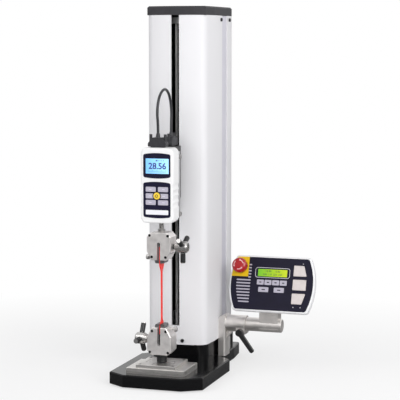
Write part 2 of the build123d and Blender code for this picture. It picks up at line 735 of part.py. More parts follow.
def upper_hex_nut():
    nut = Pos(0, 0, HEX_NUT_LOW) * extrude(RegularPolygon(HEX_NUT_FLATS / 2, 6, major_radius=False), HEX_NUT_T)
    return nut - rod(SHAFT_R, (0, 0, HEX_NUT_LOW - 1), (0, 0, HEX_NUT_LOW + HEX_NUT_T + 1))


def plug_hood():
    """Connector hood standing on z = 0, its width along X: foot, body narrowing to the strain relief."""
    half = HOOD_W / 2
    points = [(-half, HOOD_FOOT), (half, HOOD_FOOT), (half, HOOD_SHOULDER), (RELIEF_R + 5, HOOD_H),
              (-RELIEF_R - 5, HOOD_H), (-half, HOOD_SHOULDER)]
    body = prism([(x, -HOOD_T / 2, z) for x, z in points], (0, 1, 0), HOOD_T)
    body = fillet(body.edges().filter_by(Axis.Y), 1.5)
    foot = block(-half + 5, half - 5, -HOOD_T / 2 + 1.5, HOOD_T / 2 - 1.5, 0, HOOD_FOOT + 0.1)
    relief = turned([(HOOD_H - 0.1, 0), (HOOD_H - 0.1, RELIEF_R), (HOOD_H + RELIEF_H, RELIEF_TIP_R),
                     (HOOD_H + RELIEF_H, 0)], (0, 0, 0), (0, 0, 1))
    body = body + foot + relief
    for side in (-1, 1):
        x = side * THUMB_X
        body -= rod(1.6, (x, 0, -1), (x, 0, HOOD_H))
        screw = rod(1.5, (x, 0, HOOD_FOOT), (x, 0, HOOD_H)) + rod(THUMB_R, (x, 0, HOOD_SHOULDER + 2),
                                                                 (x, 0, HOOD_SHOULDER + 2 + THUMB_OUT + 6))
        body = body - rod(THUMB_R + 0.2, (x, 0, HOOD_SHOULDER + 1.8), (x, 0, HOOD_H + 9)) + screw
    return body


def gauge_plug():
    return Pos(GAUGE_PLUG[0], GAUGE_PLUG[1], GAUGE_LOW + GAUGE_H) * plug_hood()


def crosshead_plug():
    return Pos(ARM_PLUG[0], ARM_PLUG[1], ARM_TOP) * Rot(0, 0, 90) * plug_hood()


def lead_radii(points):
    radii = []
    for a, b, c in zip(points, points[1:], points[2:]):
        run_in = Vector(*b) - Vector(*a)
        run_out = Vector(*c) - Vector(*b)
        half_turn = math.radians(run_in.get_angle(run_out)) / 2
        radii.append(0.45 * min(run_in.length, run_out.length) / math.tan(half_turn))
    return radii


def signal_lead():
    points = list(LEAD_ROUTE)
    points[0] = (GAUGE_PLUG[0], GAUGE_PLUG[1], GAUGE_LOW + GAUGE_H + HOOD_H + RELIEF_H)
    points[-1] = (ARM_PLUG[0], ARM_PLUG[1], ARM_TOP + HOOD_H + RELIEF_H)
    radii = lead_radii(points)
    print("lead radii", [round(r, 1) for r in radii])
    path = FilletPolyline(*points, radius=radii)
    start = Plane(origin=path @ 0, z_dir=path % 0)
    tube = sweep(start * Circle(LEAD_R), path=path)
    print("lead length", round(path.length, 1), "volume share", round(
        tube.volume / (math.pi * LEAD_R ** 2 * path.length), 4))
    return tube


# Wedge grips

def involute(angle):
    return math.tan(angle) - angle


def pinion_outline():
    """Tooth outline with involute flanks, one tooth pointing along the outline's first axis."""
    pressure = math.radians(GEAR_PRESSURE)
    base_r = PITCH_R * math.cos(pressure)
    tip_r = PITCH_R + GEAR_ADDENDUM
    root_r = PITCH_R - GEAR_DEDENDUM
    half_pitch = math.pi / (2 * GEAR_TEETH) - GEAR_BACKLASH / (4 * PITCH_R)
    flank = []
    for share in (0.0, 0.35, 0.7, 1.0):
        r = base_r + share * (tip_r - base_r)
        flank.append((r, half_pitch + involute(pressure) - involute(math.acos(min(base_r / r, 1.0)))))
    flank.insert(0, (root_r, flank[0][1]))
    points = []
    for tooth in range(GEAR_TEETH):
        middle = 2 * math.pi * tooth / GEAR_TEETH
        points += [(r * math.cos(middle - a), r * math.sin(middle - a)) for r, a in flank]
        points += [(r * math.cos(middle + a), r * math.sin(middle + a)) for r, a in reversed(flank)]
    return points


def pinion_teeth():
    points = [(RACK_X0, HANDLE_Y - a, HANDLE_Z + b) for a, b in pinion_outline()]
    return prism(points, (1, 0, 0), RACK_X1 - RACK_X0)


def rack_outline():
    """Rack along Z whose teeth point to +Y, a gap centred on the pinion axis at rest."""
    pitch = math.pi * GEAR_MODULE
    slope = math.tan(math.radians(GEAR_PRESSURE))
    line_y = HANDLE_Y - PITCH_R
    half = pitch / 4 - GEAR_BACKLASH / 4
    points = [(RACK_BACK, YOKE_LOW + 0.1), (RACK_BACK, RACK_LOW), (line_y - GEAR_DEDENDUM, RACK_LOW)]
    first = math.ceil((RACK_LOW - HANDLE_Z) / pitch)
    last = math.floor((HANDLE_Z + 6.0 - HANDLE_Z) / pitch)
    for k in range(first, last + 1):
        z = HANDLE_Z + (k + 0.5) * pitch
        root = half + GEAR_DEDENDUM * slope
        tip = half - GEAR_ADDENDUM * slope
        points += [(line_y - GEAR_DEDENDUM, z - root), (line_y + GEAR_ADDENDUM, z - tip),
                   (line_y + GEAR_ADDENDUM, z + tip), (line_y - GEAR_DEDENDUM, z + root)]
    return points + [(line_y - GEAR_DEDENDUM, YOKE_LOW + 0.1)]


def grip_yoke():
    """Lift yoke: a bar over the jaws with a tee tongue below it and the rack leg at one end."""
    bar = block(-CHANNEL_MAX + 4, RACK_X1, -YOKE_HALF_Y, YOKE_HALF_Y, YOKE_LOW, YOKE_LOW + YOKE_T)
    bar += block(RACK_X0, RACK_X1, RACK_BACK, 0, YOKE_LOW, YOKE_LOW + YOKE_T)
    reach = CHANNEL_MAX - 4
    tongue = block(-reach, reach, -TONGUE_HALF_Y, TONGUE_HALF_Y, TONGUE_LOW, TONGUE_LOW + TONGUE_T)
    neck = block(-reach, reach, -TONGUE_NECK_HALF_Y, TONGUE_NECK_HALF_Y, TONGUE_LOW, YOKE_LOW + 0.1)
    rack = prism([(RACK_X0, y, z) for y, z in rack_outline()], (1, 0, 0), RACK_X1 - RACK_X0)
    return bar + tongue + neck + rack


def grip_jaw():
    """Right-hand jaw: serrated flat face at x = JAW_FACE, wedge back on the channel's slope."""
    back_mouth = CHANNEL_MOUTH - JAW_FIT / math.cos(math.radians(WEDGE_ANGLE))
    back_max = CHANNEL_MAX - 0.2 - LIFT * SLOPE
    bend_z = (back_max - back_mouth) / SLOPE
    tip_back = back_mouth + SLOPE * JAW_TIP
    points = [(JAW_FACE, JAW_TIP), (tip_back - 1.0, JAW_TIP), (tip_back + 0.2, JAW_TIP + 1.2),
              (back_max, bend_z), (back_max, JAW_TOP), (JAW_FACE, JAW_TOP)]
    jaw = prism([(x, -JAW_HALF_Y, z) for x, z in points], (0, 1, 0), 2 * JAW_HALF_Y)
    fit = TONGUE_FIT
    jaw -= block(-1, 30, -TONGUE_HALF_Y - fit, TONGUE_HALF_Y + fit, TONGUE_LOW - fit, TONGUE_LOW + TONGUE_T + fit)
    jaw -= block(-1, 30, -TONGUE_NECK_HALF_Y - fit, TONGUE_NECK_HALF_Y + fit, TONGUE_LOW, JAW_TOP + 1)
    return jaw


def grip_outline(y):
    pairs = mirrored([(GRIP_MOUTH_HALF, 0), (GRIP_HALF, GRIP_SHOULDER), (GRIP_HALF, GRIP_CROWN),
                      (GRIP_CROWN_HALF, GRIP_H)])
    return [(x, y, z) for x, z in pairs]


def grip_channel():
    full_z = (CHANNEL_MAX - CHANNEL_MOUTH) / SLOPE
    top = GRIP_H - GRIP_ROOF
    pairs = mirrored([(CHANNEL_MOUTH - SLOPE, -1), (CHANNEL_MAX, full_z), (CHANNEL_MAX, top)])
    front = GRIP_FRONT + COVER_T
    return prism([(x, front - 1, z) for x, z in pairs], (0, 1, 0), GRIP_BACK - GRIP_WALL - front + 1)


def grip_body(roof_hole_r):
    front = GRIP_FRONT + COVER_T
    body = prism(grip_outline(front), (0, 1, 0), GRIP_BACK - front)
    body = chamfer(body.faces().sort_by(Axis.Y)[-1].edges(), 1.0)
    body -= grip_channel()
    room = 0.4
    body -= block(CHANNEL_MAX - 0.5, RACK_X1 + room, RACK_BACK - 0.8, HANDLE_Y + PITCH_R + GEAR_ADDENDUM + 0.6,
                  RACK_LOW - 1.1, YOKE_LOW + YOKE_T + LIFT + 0.4)
    body -= rod(SPINDLE_R + RUN_FIT, (RACK_X1, HANDLE_Y, HANDLE_Z), (GRIP_HALF + 1, HANDLE_Y, HANDLE_Z))
    body -= rod(roof_hole_r + 0.05, (0, 0, GRIP_H - GRIP_ROOF - 1), (0, 0, GRIP_H + 1))
    body -= rod(PIN_R + 0.05, (-GRIP_MOUTH_HALF + 1, 0, PIN_Z), (-GRIP_HALF - 1, 0, PIN_Z))
    for x, z in cover_screw_places():
        body -= rod(COVER_SCREW_SHANK_R, (x, front - 1, z), (x, GRIP_FRONT + COVER_SCREW_SHANK, z))
    return body


def cover_screw_places():
    (xh, zh), (xl, zl) = COVER_SCREW_HIGH, COVER_SCREW_LOW
    return [(xh, zh), (-xh, zh), (xl, zl), (-xl, zl)]


def grip_cover():
    cover = prism(grip_outline(GRIP_FRONT), (0, 1, 0), COVER_T)
    cover = chamfer(cover.faces().sort_by(Axis.Y)[0].edges(), 0.8)
    half = COVER_SLOT_W / 2
    cover -= block(-half, half, GRIP_FRONT - 1, GRIP_FRONT + COVER_T + 1, -1, COVER_SLOT_TOP - half)
    cover -= rod(half, (0, GRIP_FRONT - 1, COVER_SLOT_TOP - half), (0, GRIP_FRONT + COVER_T + 1, COVER_SLOT_TOP - half))
    for x, z in cover_screw_places():
        cover -= rod(COVER_SCREW_SHANK_R + 0.1, (x, GRIP_FRONT - 1, z), (x, GRIP_FRONT + COVER_T + 1, z))
        cover -= rod(COVER_SCREW_R + 0.15, (x, GRIP_FRONT - 1, z), (x, GRIP_FRONT + 2.4, z))
    return cover


def grip_screws():
    screws = []
    for x, z in cover_screw_places():
        head = rod(COVER_SCREW_R, (x, GRIP_FRONT + 0.2, z), (x, GRIP_FRONT + 2.4, z))
        head -= rod(1.2, (x, GRIP_FRONT, z), (x, GRIP_FRONT + 1.3, z))
        shank_end = GRIP_FRONT + COVER_SCREW_SHANK - 0.2
        screws.append(head + rod(COVER_SCREW_SHANK_R - 0.02, (x, GRIP_FRONT + 2.3, z), (x, shank_end, z)))
    return screws


def stop_pin():
    head = turned([(-PIN_OUT, 0), (-PIN_OUT, PIN_HEAD_R - 1), (-PIN_OUT + 1, PIN_HEAD_R),
                   (-PIN_OUT + PIN_HEAD_T, PIN_HEAD_R), (-PIN_OUT + PIN_HEAD_T, PIN_R), (-GRIP_MOUTH_HALF + 0.8, PIN_R),
                   (-GRIP_MOUTH_HALF + 0.8, 0)], (0, 0, PIN_Z), (1, 0, 0))
    return head


def spoke_angles(turn):
    """Angles of the three arms from straight up towards the rear."""
    return [math.radians(a + turn) for a in (60.0, 180.0, 300.0)]


def handle(turn):
    """Handle spindle with its pinion, flared hub and three tipped arms."""
    centre = (0, HANDLE_Y, HANDLE_Z)
    hub = turned([(HUB_START, 0), (HUB_START, HUB_NECK_R), (HUB_FLARE - 2, HUB_R - 1.5), (HUB_FLARE, HUB_R),
                  (HUB_END - 3, HUB_R), (HUB_END, HUB_R - 3), (HUB_END, 0)], centre, (1, 0, 0))
    spindle = rod(SPINDLE_R, (RACK_X0 - 0.2, HANDLE_Y, HANDLE_Z), (HUB_START + 1, HANDLE_Y, HANDLE_Z))
    solid = hub + spindle + pinion_teeth()
    for angle in spoke_angles(turn):
        dy, dz = math.sin(angle), math.cos(angle)
        tip = (SPOKE_X, HANDLE_Y + SPOKE_END * dy, HANDLE_Z + SPOKE_END * dz)
        cap = SPOKE_END - SPOKE_TIP_T
        inner = (SPOKE_X, HANDLE_Y + cap * dy, HANDLE_Z + cap * dz)
        solid += rod(SPOKE_R, (SPOKE_X, HANDLE_Y, HANDLE_Z), tip) + rod(SPOKE_TIP_R, inner, tip)
    return solid


def handle_sleeves(turn):
    """Black grips on the arms, and the black collar round the spindle."""
    sleeves = []
    for angle in spoke_angles(turn):
        dy, dz = math.sin(angle), math.cos(angle)
        ends = [(SPOKE_X, HANDLE_Y + r * dy, HANDLE_Z + r * dz) for r in (SLEEVE_START, SPOKE_END - SPOKE_TIP_T)]
        sleeves.append(rod(SLEEVE_R, *ends) - rod(SPOKE_R, *ends))
    collar_ends = ((GRIP_HALF + 0.3, HANDLE_Y, HANDLE_Z), (HUB_START, HANDLE_Y, HANDLE_Z))
    return sleeves + [rod(COLLAR_R, *collar_ends) - rod(SPINDLE_R, *collar_ends)]


def lower_stud():
    low = BASE_T + 4
    high = LOWER_JAW_EDGE - GRIP_H + GRIP_ROOF
    return rod(STUD_R, (0, 0, low), (0, 0, high))


def lower_locknut():
    low = MATRIX_TOP
    high = LOWER_JAW_EDGE - GRIP_H
    nut = rod(LOCKNUT_R, (0, 0, low), (0, 0, high)) - rod(STUD_R, (0, 0, low - 1), (0, 0, high + 1))
    nut = chamfer(nut.faces().sort_by(Axis.Z)[0].outer_wire().edges(), 1.0)
    for side in (-1, 1):
        nut -= rod(1.6, (side * (LOCKNUT_R - 3), 0, (low + high) / 2), (side * (LOCKNUT_R + 1), 0, (low + high) / 2))
    return nut


def specimen():
    """Dumb-bell test piece standing in the YZ plane, clamped by its two tabs."""
    wide = SPECIMEN_W / 2
    neck = SPECIMEN_NECK / 2
    right = [(wide, SPECIMEN_LOW), (wide, SPECIMEN_NECK_LOW - SPECIMEN_TAPER), (neck, SPECIMEN_NECK_LOW),
             (neck, SPECIMEN_NECK_HIGH), (wide, SPECIMEN_NECK_HIGH + SPECIMEN_TAPER), (wide, SPECIMEN_HIGH)]
    points = mirrored(right)
    body = prism([(-JAW_FACE, y, z) for y, z in points], (1, 0, 0), 2 * JAW_FACE)
    inner = [e for e in body.edges().filter_by(Axis.X) if abs(abs(e.center().Y) - neck) < 0.1]
    return fillet(inner, 9.0)


# Panel arm

def panel_bracket():
    """Cast bracket: leg on the base, elbow, hollow arm and split clamp lug."""
    leg = block(COLUMN_HALF, LEG_X1, LEG_Y0, LEG_Y1, BASE_T, AXIS_Z + ARM_R)
    leg = fillet(leg.edges().filter_by(Axis.Y).sort_by(Axis.Z)[-2:].sort_by(Axis.X)[:1], 9.0)
    leg = fillet(leg.edges().filter_by(Axis.Z).sort_by(Axis.X)[-2:], 4.0)
    arm = rod(ARM_R, (COLUMN_HALF + 9, AXIS_Y, AXIS_Z), (ARM_SEAM, AXIS_Y, AXIS_Z))
    lug_end = ARM_SEAM - 1.0
    lug_low = LEVER_Z - LUG_LOW
    lug = block(LUG_X0, lug_end, AXIS_Y - LUG_HALF_Y, AXIS_Y + LUG_HALF_Y, lug_low, AXIS_Z)
    lug = fillet(lug.edges().filter_by(Axis.Y).sort_by(Axis.Z)[:2], 4.0)
    web = prism([(LEG_X1 - 1, AXIS_Y - 6, AXIS_Z - ARM_R + 3), (LEG_X1 - 1, AXIS_Y - 6, AXIS_Z - ARM_R - 14),
                 (LEG_X1 + 15, AXIS_Y - 6, AXIS_Z - ARM_R + 3)], (0, 1, 0), 12)
    body = leg + arm + lug + web
    body -= rod(ARM_BORE_R, (COLUMN_HALF + 12, AXIS_Y, AXIS_Z), (ARM_SEAM + 1, AXIS_Y, AXIS_Z))
    body -= block(LUG_X0 - 1, ARM_SEAM + 1, AXIS_Y - LUG_SLIT / 2, AXIS_Y + LUG_SLIT / 2,
                  lug_low - 1, AXIS_Z - ARM_BORE_R + 1)
    ends = [(LEVER_X, AXIS_Y + side * (LUG_HALF_Y + 1), LEVER_Z) for side in (-1, 1)]
    return body - rod(LEVER_BORE_R, *ends)


def clamp_lever():
    """Clamping lever: round hub on its bolt, arm tapering to a rounded tip."""
    y1 = AXIS_Y - LUG_HALF_Y - 0.3
    y0 = y1 - LEVER_HUB_T
    hub = rod(LEVER_HUB_R, (LEVER_X, y0, LEVER_Z), (LEVER_X, y1, LEVER_Z))
    tip = (LEVER_X + LEVER_DX, LEVER_Z + LEVER_DZ)
    length = math.hypot(LEVER_DX, LEVER_DZ)
    nx, nz = -LEVER_DZ / length, LEVER_DX / length
    root_w = LEVER_HUB_R - 2.4
    tip_w = LEVER_END_R
    arm = prism([(LEVER_X + nx * root_w, y0 + 1.5, LEVER_Z + nz * root_w), (tip[0] + nx * tip_w, y0 + 1.5, tip[1] + nz * tip_w),
                 (tip[0] - nx * tip_w, y0 + 1.5, tip[1] - nz * tip_w),
                 (LEVER_X - nx * root_w, y0 + 1.5, LEVER_Z - nz * root_w)], (0, 1, 0), 7.5)
    arm += rod(tip_w, (tip[0], y0 + 1.5, tip[1]), (tip[0], y0 + 9.0, tip[1]))
    bolt = rod(LEVER_BORE_R - RUN_FIT, (LEVER_X, y1 - 1, LEVER_Z), (LEVER_X, AXIS_Y + LUG_HALF_Y + 1.5, LEVER_Z))
    socket = Plane(origin=(LEVER_X, y0 + 1.8, LEVER_Z), z_dir=(0, -1, 0)) * RegularPolygon(2.4, 6)
    return hub + arm + bolt - extrude(socket, 3)


def panel_point(n, t):
    """Place on the panel in the YZ plane: n forward of the axis, t up along the face."""
    tilt = math.radians(TILT)
    return (AXIS_Y - n * math.cos(tilt) + t * math.sin(tilt), AXIS_Z + n * math.sin(tilt) + t * math.cos(tilt))


def tilt_head():
    """Swivelling head: shaft in the arm, barrel, and the block that carries the panel."""
    shaft = rod(ARM_BORE_R - RUN_FIT, (COLUMN_HALF + 13, AXIS_Y, AXIS_Z), (ARM_SEAM + 1, AXIS_Y, AXIS_Z))
    barrel = rod(BARREL_R, (ARM_SEAM + 0.3, AXIS_Y, AXIS_Z), (BARREL_END, AXIS_Y, AXIS_Z))
    barrel = chamfer(barrel.edges().filter_by(GeomType.CIRCLE).sort_by(Axis.X)[-1:], 1.5)
    bottom = panel_point(PANEL_BACK, PANEL_UP - PANEL_HALF_H)
    top = panel_point(PANEL_BACK, PANEL_UP - 10)
    side = [(AXIS_Y - 13, AXIS_Z - 1), bottom, top, (top[0] + 6, top[1]), (AXIS_Y + 14, AXIS_Z + 22),
            (AXIS_Y + 14, AXIS_Z - 4), (AXIS_Y + 7, AXIS_Z - 13), (AXIS_Y - 7, AXIS_Z - 13), (AXIS_Y - 13, AXIS_Z - 7)]
    head = prism([(HEADBLOCK_X0, y, z) for y, z in side], (1, 0, 0), HEADBLOCK_X1 - HEADBLOCK_X0)
    return shaft + barrel + head


PANEL_FRAME = Pos(PANEL_X, AXIS_Y, AXIS_Z) * Rot(-TILT, 0, 0)


def panel_outline(inset, corner_r):
    half = PANEL_HALF - inset
    bow = PANEL_BOW - inset
    z0 = PANEL_UP - PANEL_HALF_H + inset
    z1 = PANEL_UP + PANEL_HALF_H - inset
    right = ThreePointArc((half, z0), (bow, PANEL_UP), (half, z1))
    left = ThreePointArc((-half, z1), (-bow, PANEL_UP), (-half, z0))
    top = Line((half, z1), (-half, z1))
    bottom = Line((-half, z0), (half, z0))
    face = make_face([right.edge(), top.edge(), left.edge(), bottom.edge()])
    return fillet(face.vertices(), corner_r)


def panel_slab(face, n_low, n_high):
    return extrude(Plane.XZ.offset(n_low) * face, n_high - n_low)


def big_key_face(index, grow):
    """Outline of a large key; the outer side slants with the panel's bow."""
    z = PANEL_UP + BIG_KEY_Z + (1 - index) * BIG_KEY_PITCH
    h = BIG_KEY_H / 2 + grow
    x0 = BIG_KEY_X0 - grow
    x1 = BIG_KEY_X1 + grow
    top = x1 + (-BIG_KEY_SLANT, BIG_KEY_SLANT, BIG_KEY_SLANT)[index]
    low = x1 + (BIG_KEY_SLANT, BIG_KEY_SLANT, -BIG_KEY_SLANT)[index]
    face = make_face(Polyline((x0, z - h), (low, z - h), (top, z + h), (x0, z + h), close=True))
    return fillet(face.vertices(), 1.2 + grow)


LABEL_LOW = PANEL_FRONT - 0.4
LABEL_HIGH = PANEL_FRONT + 0.4
STOP_PLATE_T = 2.0


def stop_hole(n_low, n_high, grow):
    z = PANEL_UP + STOP_Z
    return rod(STOP_NECK_R + grow, (STOP_X, -n_low, z), (STOP_X, -n_high, z))


def panel_front():
    shell = panel_slab(panel_outline(0, 8.0), PANEL_SPLIT, PANEL_FRONT)
    shell = fillet(shell.faces().sort_by(Axis.Y)[0].edges(), 2.5)
    shell -= panel_slab(panel_outline(LABEL_MARGIN - 0.1, 5.1), LABEL_LOW, PANEL_FRONT + 1)
    for index in range(3):
        shell -= panel_slab(big_key_face(index, KEY_GAP), PANEL_FRONT - 5.0, PANEL_FRONT + 1)
    return shell - stop_hole(PANEL_SPLIT + 0.5, PANEL_FRONT + 1, 0.4)


def panel_rear():
    shell = panel_slab(panel_outline(1.2, 8.0), PANEL_BACK, PANEL_SPLIT)
    return chamfer(shell.faces().sort_by(Axis.Y)[-1].edges(), 5.0)


def small_key_boxes():
    """Centre x, centre z, width and height of the keys that are embossed in the label."""
    small = [(-23.5 + 15.85 * i, 2.9, 14.6, 10.4) for i in range(4)]
    medium = [(side * 16.1, -11.9, 21.2, 10.2) for side in (-1, 1)]
    return small + medium


def light_bars():
    """Centre x, centre z and length of the thirteen bars, their left ends following the bow."""
    bars = []
    for i in range(13):
        z = 37.6 - 6.3 * i
        left = -73.6 + 7.0 * (z / 38.0) ** 2
        right = -43.8
        bars.append(((left + right) / 2, z, right - left))
    return bars


def panel_label():
    label = panel_slab(panel_outline(LABEL_MARGIN, 5.0), LABEL_LOW, LABEL_HIGH)
    for x, z, w, h in small_key_boxes():
        label += panel_slab(Pos(x, PANEL_UP + z) * RectangleRounded(w, h, 1.5), LABEL_LOW, LABEL_HIGH + 0.4)
    for x, z, w in light_bars():
        if z + 1.5 < STOP_Z - STOP_PLATE_H / 2:
            label += panel_slab(Pos(x, PANEL_UP + z) * RectangleRounded(w, 2.8, 1.2), LABEL_LOW, LABEL_HIGH + 0.3)
    window = Pos(0.1, PANEL_UP + 22.4) * RectangleRounded(61.0, 15.4, 1.0)
    label -= panel_slab(window, LABEL_HIGH - 0.5, LABEL_HIGH + 1)
    for index in range(3):
        label -= panel_slab(big_key_face(index, KEY_GAP), LABEL_LOW - 1, LABEL_HIGH + 1)
    return label - stop_hole(LABEL_LOW - 1, LABEL_HIGH + 1, 0.4)


def big_key(index):
    key = panel_slab(big_key_face(index, 0), PANEL_FRONT - 3.6, LABEL_HIGH + 0.9)
    return chamfer(key.faces().sort_by(Axis.Y)[0].edges(), 0.5)


def stop_plate():
    plate = Pos(STOP_X - 1.0, PANEL_UP + STOP_Z) * RectangleRounded(STOP_PLATE_W, STOP_PLATE_H, 1.0)
    plate = plate & panel_outline(LABEL_MARGIN, 5.0)
    slab = panel_slab(plate, LABEL_HIGH, LABEL_HIGH + STOP_PLATE_T)
    return slab - stop_hole(LABEL_HIGH - 1, LABEL_HIGH + STOP_PLATE_T + 1, 0.4)


def stop_head():
    """Mushroom head on its neck, with a shallow dished crown."""
    rise = STOP_TRAVEL + STOP_PLATE_T + LABEL_HIGH + 0.8
    crown = LABEL_HIGH + STOP_OUT
    profile = [(PANEL_SPLIT + STOP_TRAVEL + 1.0, 0), (PANEL_SPLIT + STOP_TRAVEL + 1.0, STOP_NECK_R), (rise, STOP_NECK_R),
               (rise, STOP_R - 1.0), (rise + 1.2, STOP_R), (crown - 6.5, STOP_R), (crown - 3.0, STOP_R - 1.6),
               (crown - 0.8, STOP_R - 5.0), (crown, STOP_R - 9.0), (crown, 0)]
    return turned(profile, (STOP_X, 0, PANEL_UP + STOP_Z), (0, -1, 0))


# All nodes

def grip_nodes(name, place, turn, roof_hole_r):
    jaw = grip_jaw()
    sides = ("right", "left") if name == "upper" else ("left", "right")
    solids = {
        "grip_body": grip_body(roof_hole_r),
        "grip_cover": grip_cover(),
        "cover_screws": grip_screws(),
        "stop_pin": stop_pin(),
        "jaw_" + sides[0]: jaw,
        "jaw_" + sides[1]: mirror(jaw, Plane.YZ),
        "yoke": grip_yoke(),
        "handle": handle(turn),
        "handle_sleeves": handle_sleeves(turn),
    }
    return {name + "_" + key: placed(place, value) for key, value in solids.items()}


def placed(place, value):
    if isinstance(value, list):
        return [place * piece for piece in value]
    return place * value


def all_nodes():
    nodes = {
        "base_casting": base_casting(),
        "rubber_feet": rubber_feet(),
        "base_plate": base_plate(),
        "matrix_plate": matrix_plate(),
        "frame_screws": frame_screws(),
        "pedestal": pedestal(),
        "side_plate": side_plate(),
        "power_inlet": power_inlet(),
        "power_rocker": power_rocker(),
        "column": column_extrusion(),
        "column_cap": column_cap(),
        "guide_rails": guide_rails(),
        "screw_bearings": screw_bearings(),
        "drive_motor": drive_motor(),
        "lead_screw": lead_screw(),
        "crosshead": crosshead_block(),
        "screw_nut": screw_nut(),
        "gauge_mount": gauge_mount(),
        "mount_knobs": mount_knobs(),
        "gauge_rear_case": gauge_rear_case(),
        "gauge_front_case": gauge_front_case(),
        "gauge_label": gauge_label(),
        "gauge_button": gauge_button(),
        "load_shaft": load_shaft(),
        "upper_hex_nut": upper_hex_nut(),
        "gauge_plug": gauge_plug(),
        "crosshead_plug": crosshead_plug(),
        "signal_lead": signal_lead(),
        "lower_stud": lower_stud(),
        "lower_locknut": lower_locknut(),
        "specimen": specimen(),
        "panel_bracket": panel_bracket(),
        "clamp_lever": clamp_lever(),
        "tilt_head": tilt_head(),
        "panel_front": placed(PANEL_FRAME, panel_front()),
        "panel_rear": placed(PANEL_FRAME, panel_rear()),
        "panel_label": placed(PANEL_FRAME, panel_label()),
        "stop_plate": placed(PANEL_FRAME, stop_plate()),
        "stop_button": placed(PANEL_FRAME, stop_head()),
        "key_up": placed(PANEL_FRAME, big_key(0)),
        "key_stop": placed(PANEL_FRAME, big_key(1)),
        "key_down": placed(PANEL_FRAME, big_key(2)),
    }
    nodes.update(grip_nodes("upper", Pos(0, 0, UPPER_JAW_EDGE), 0.0, SHAFT_R))
    lower_place = Pos(0, 0, LOWER_JAW_EDGE) * Rot(0, 180, 0)
    nodes.update(grip_nodes("lower", lower_place, LOWER_HANDLE_TURN, STUD_R))
    return nodes


os.makedirs("parts", exist_ok=True)
for node, shape in all_nodes().items():
    solid = Compound(children=shape) if isinstance(shape, list) else shape
    export_step(solid, f"parts/{node}.step")
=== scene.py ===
import json
import math

import bmesh
import bpy
from mathutils import Matrix, Vector


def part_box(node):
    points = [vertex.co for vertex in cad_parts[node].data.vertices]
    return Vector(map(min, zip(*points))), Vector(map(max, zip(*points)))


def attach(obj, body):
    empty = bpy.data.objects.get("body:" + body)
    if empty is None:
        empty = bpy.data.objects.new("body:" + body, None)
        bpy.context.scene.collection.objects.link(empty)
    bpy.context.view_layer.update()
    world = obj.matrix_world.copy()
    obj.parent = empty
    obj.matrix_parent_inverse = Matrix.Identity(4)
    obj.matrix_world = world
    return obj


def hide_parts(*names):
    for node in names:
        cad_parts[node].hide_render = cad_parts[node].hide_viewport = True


# Tensile force tester, dressed. The scene is in metres, +X right, +Y to the rear, +Z up.
# Sizes of pieces are in millimetres and pass through MM.

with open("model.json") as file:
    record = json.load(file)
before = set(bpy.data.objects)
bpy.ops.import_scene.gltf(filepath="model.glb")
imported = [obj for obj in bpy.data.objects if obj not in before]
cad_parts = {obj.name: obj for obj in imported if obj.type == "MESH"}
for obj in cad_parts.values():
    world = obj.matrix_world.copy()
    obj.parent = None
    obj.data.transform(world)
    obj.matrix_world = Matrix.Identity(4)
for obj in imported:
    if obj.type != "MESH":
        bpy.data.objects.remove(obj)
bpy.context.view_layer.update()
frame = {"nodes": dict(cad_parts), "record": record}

MM = 0.001

# Sockets of Blender's colour mix node
MIX_FACTOR = 0
MIX_LOW = 6
MIX_HIGH = 7
MIX_RESULT = 2

# The part of a noise's range that is spread over the whole drift, and the detail of wear
NOISE_SPAN = (0.3, 0.7)
WEAR_DETAIL = 5.0

# Half a corner's angle, in degrees, above which it counts as straight
STRAIGHT_HALF = 89.0

# Camera and surroundings, in metres
CAMERA_PLACE = (0.94172, -2.67482, 0.65857)
CAMERA_TURN = (83.94, 0.0, 17.9)
CAMERA_LENS = 133.5
CAMERA_REACH = 50.0
SENSOR_WIDTH = 36.0
FLOOR_HALF = 6.0
FLOOR_LEVEL = -0.003
FLOOR_PALE = (0.9, 0.9, 0.9, 1.0)
FLOOR_IN_SHINE = (0.3, 0.3, 0.3, 1.0)

# Share of plain white in the floor: from this reach to that, from this share to that
FLOOR_GLOW = (0.35, 1.1, 0.62, 1.0)

# What shiny faces see of the studio, by direction
STUDIO_MIDDLE = 0.70
STUDIO_LEAN = (0.08, 0.20, 0.40)
STUDIO_LIMITS = (0.22, 1.0)
AMBIENT = (0.46, 0.46, 0.47)
WHITE = (1.0, 1.0, 1.0, 1.0)

# Name, place, aim, width and height, watts
LAMPS = (
    ("key_light", (-1.6, -1.6, 1.9), (0.0, 0.1, 0.35), (1.4, 1.4), 22.0),
    ("fill_light", (1.9, -1.2, 1.3), (0.05, 0.1, 0.3), (1.6, 1.6), 36.0),
    ("front_light", (0.86, -2.45, 0.95), (0.0, 0.15, 0.4), (0.7, 1.0), 10.0),
)

# The lead's route, listed; its length is in metres
LEAD_ROUTE = [
    (-3.4, -9.0, 486.5),
    (-3.4, -9.0, 504.0),
    (-4.6, -11.0, 524.0),
    (-4.4, -6.5, 545.0),
    (-3.4, 6.0, 563.0),
    (-1.6, 26.0, 571.0),
    (-0.2, 43.5, 562.5),
    (0.8, 53.5, 544.5),
    (1.3, 56.8, 523.0),
    (1.0, 55.0, 503.0),
    (1.0, 55.0, 485.0),
]
LEAD_R = 2.65

# Printed and embossed pieces: their bevels, then lift off the face and thickness of each
SLAB_EDGE = 0.12
FINE_EDGE = 0.02
SCREEN_SLAB = (0.25, 0.2)
GAUGE_MARK_SLAB = (0.36, 0.1)
GAUGE_KEY_SLAB = (0.62, 0.3)
GAUGE_ICON_SLAB = (0.7, 0.12)
GAUGE_BAR_SLAB = (0.25, 0.3)
PANEL_KEY_SLAB = (0.52, 0.3)
KEY_SIGN_SLAB = (0.6, 0.12)
PANEL_BAR_SLAB = (0.42, 0.44)
SPOT_SLAB = (0.3, 0.35)
MARK_ROUND = 0.2

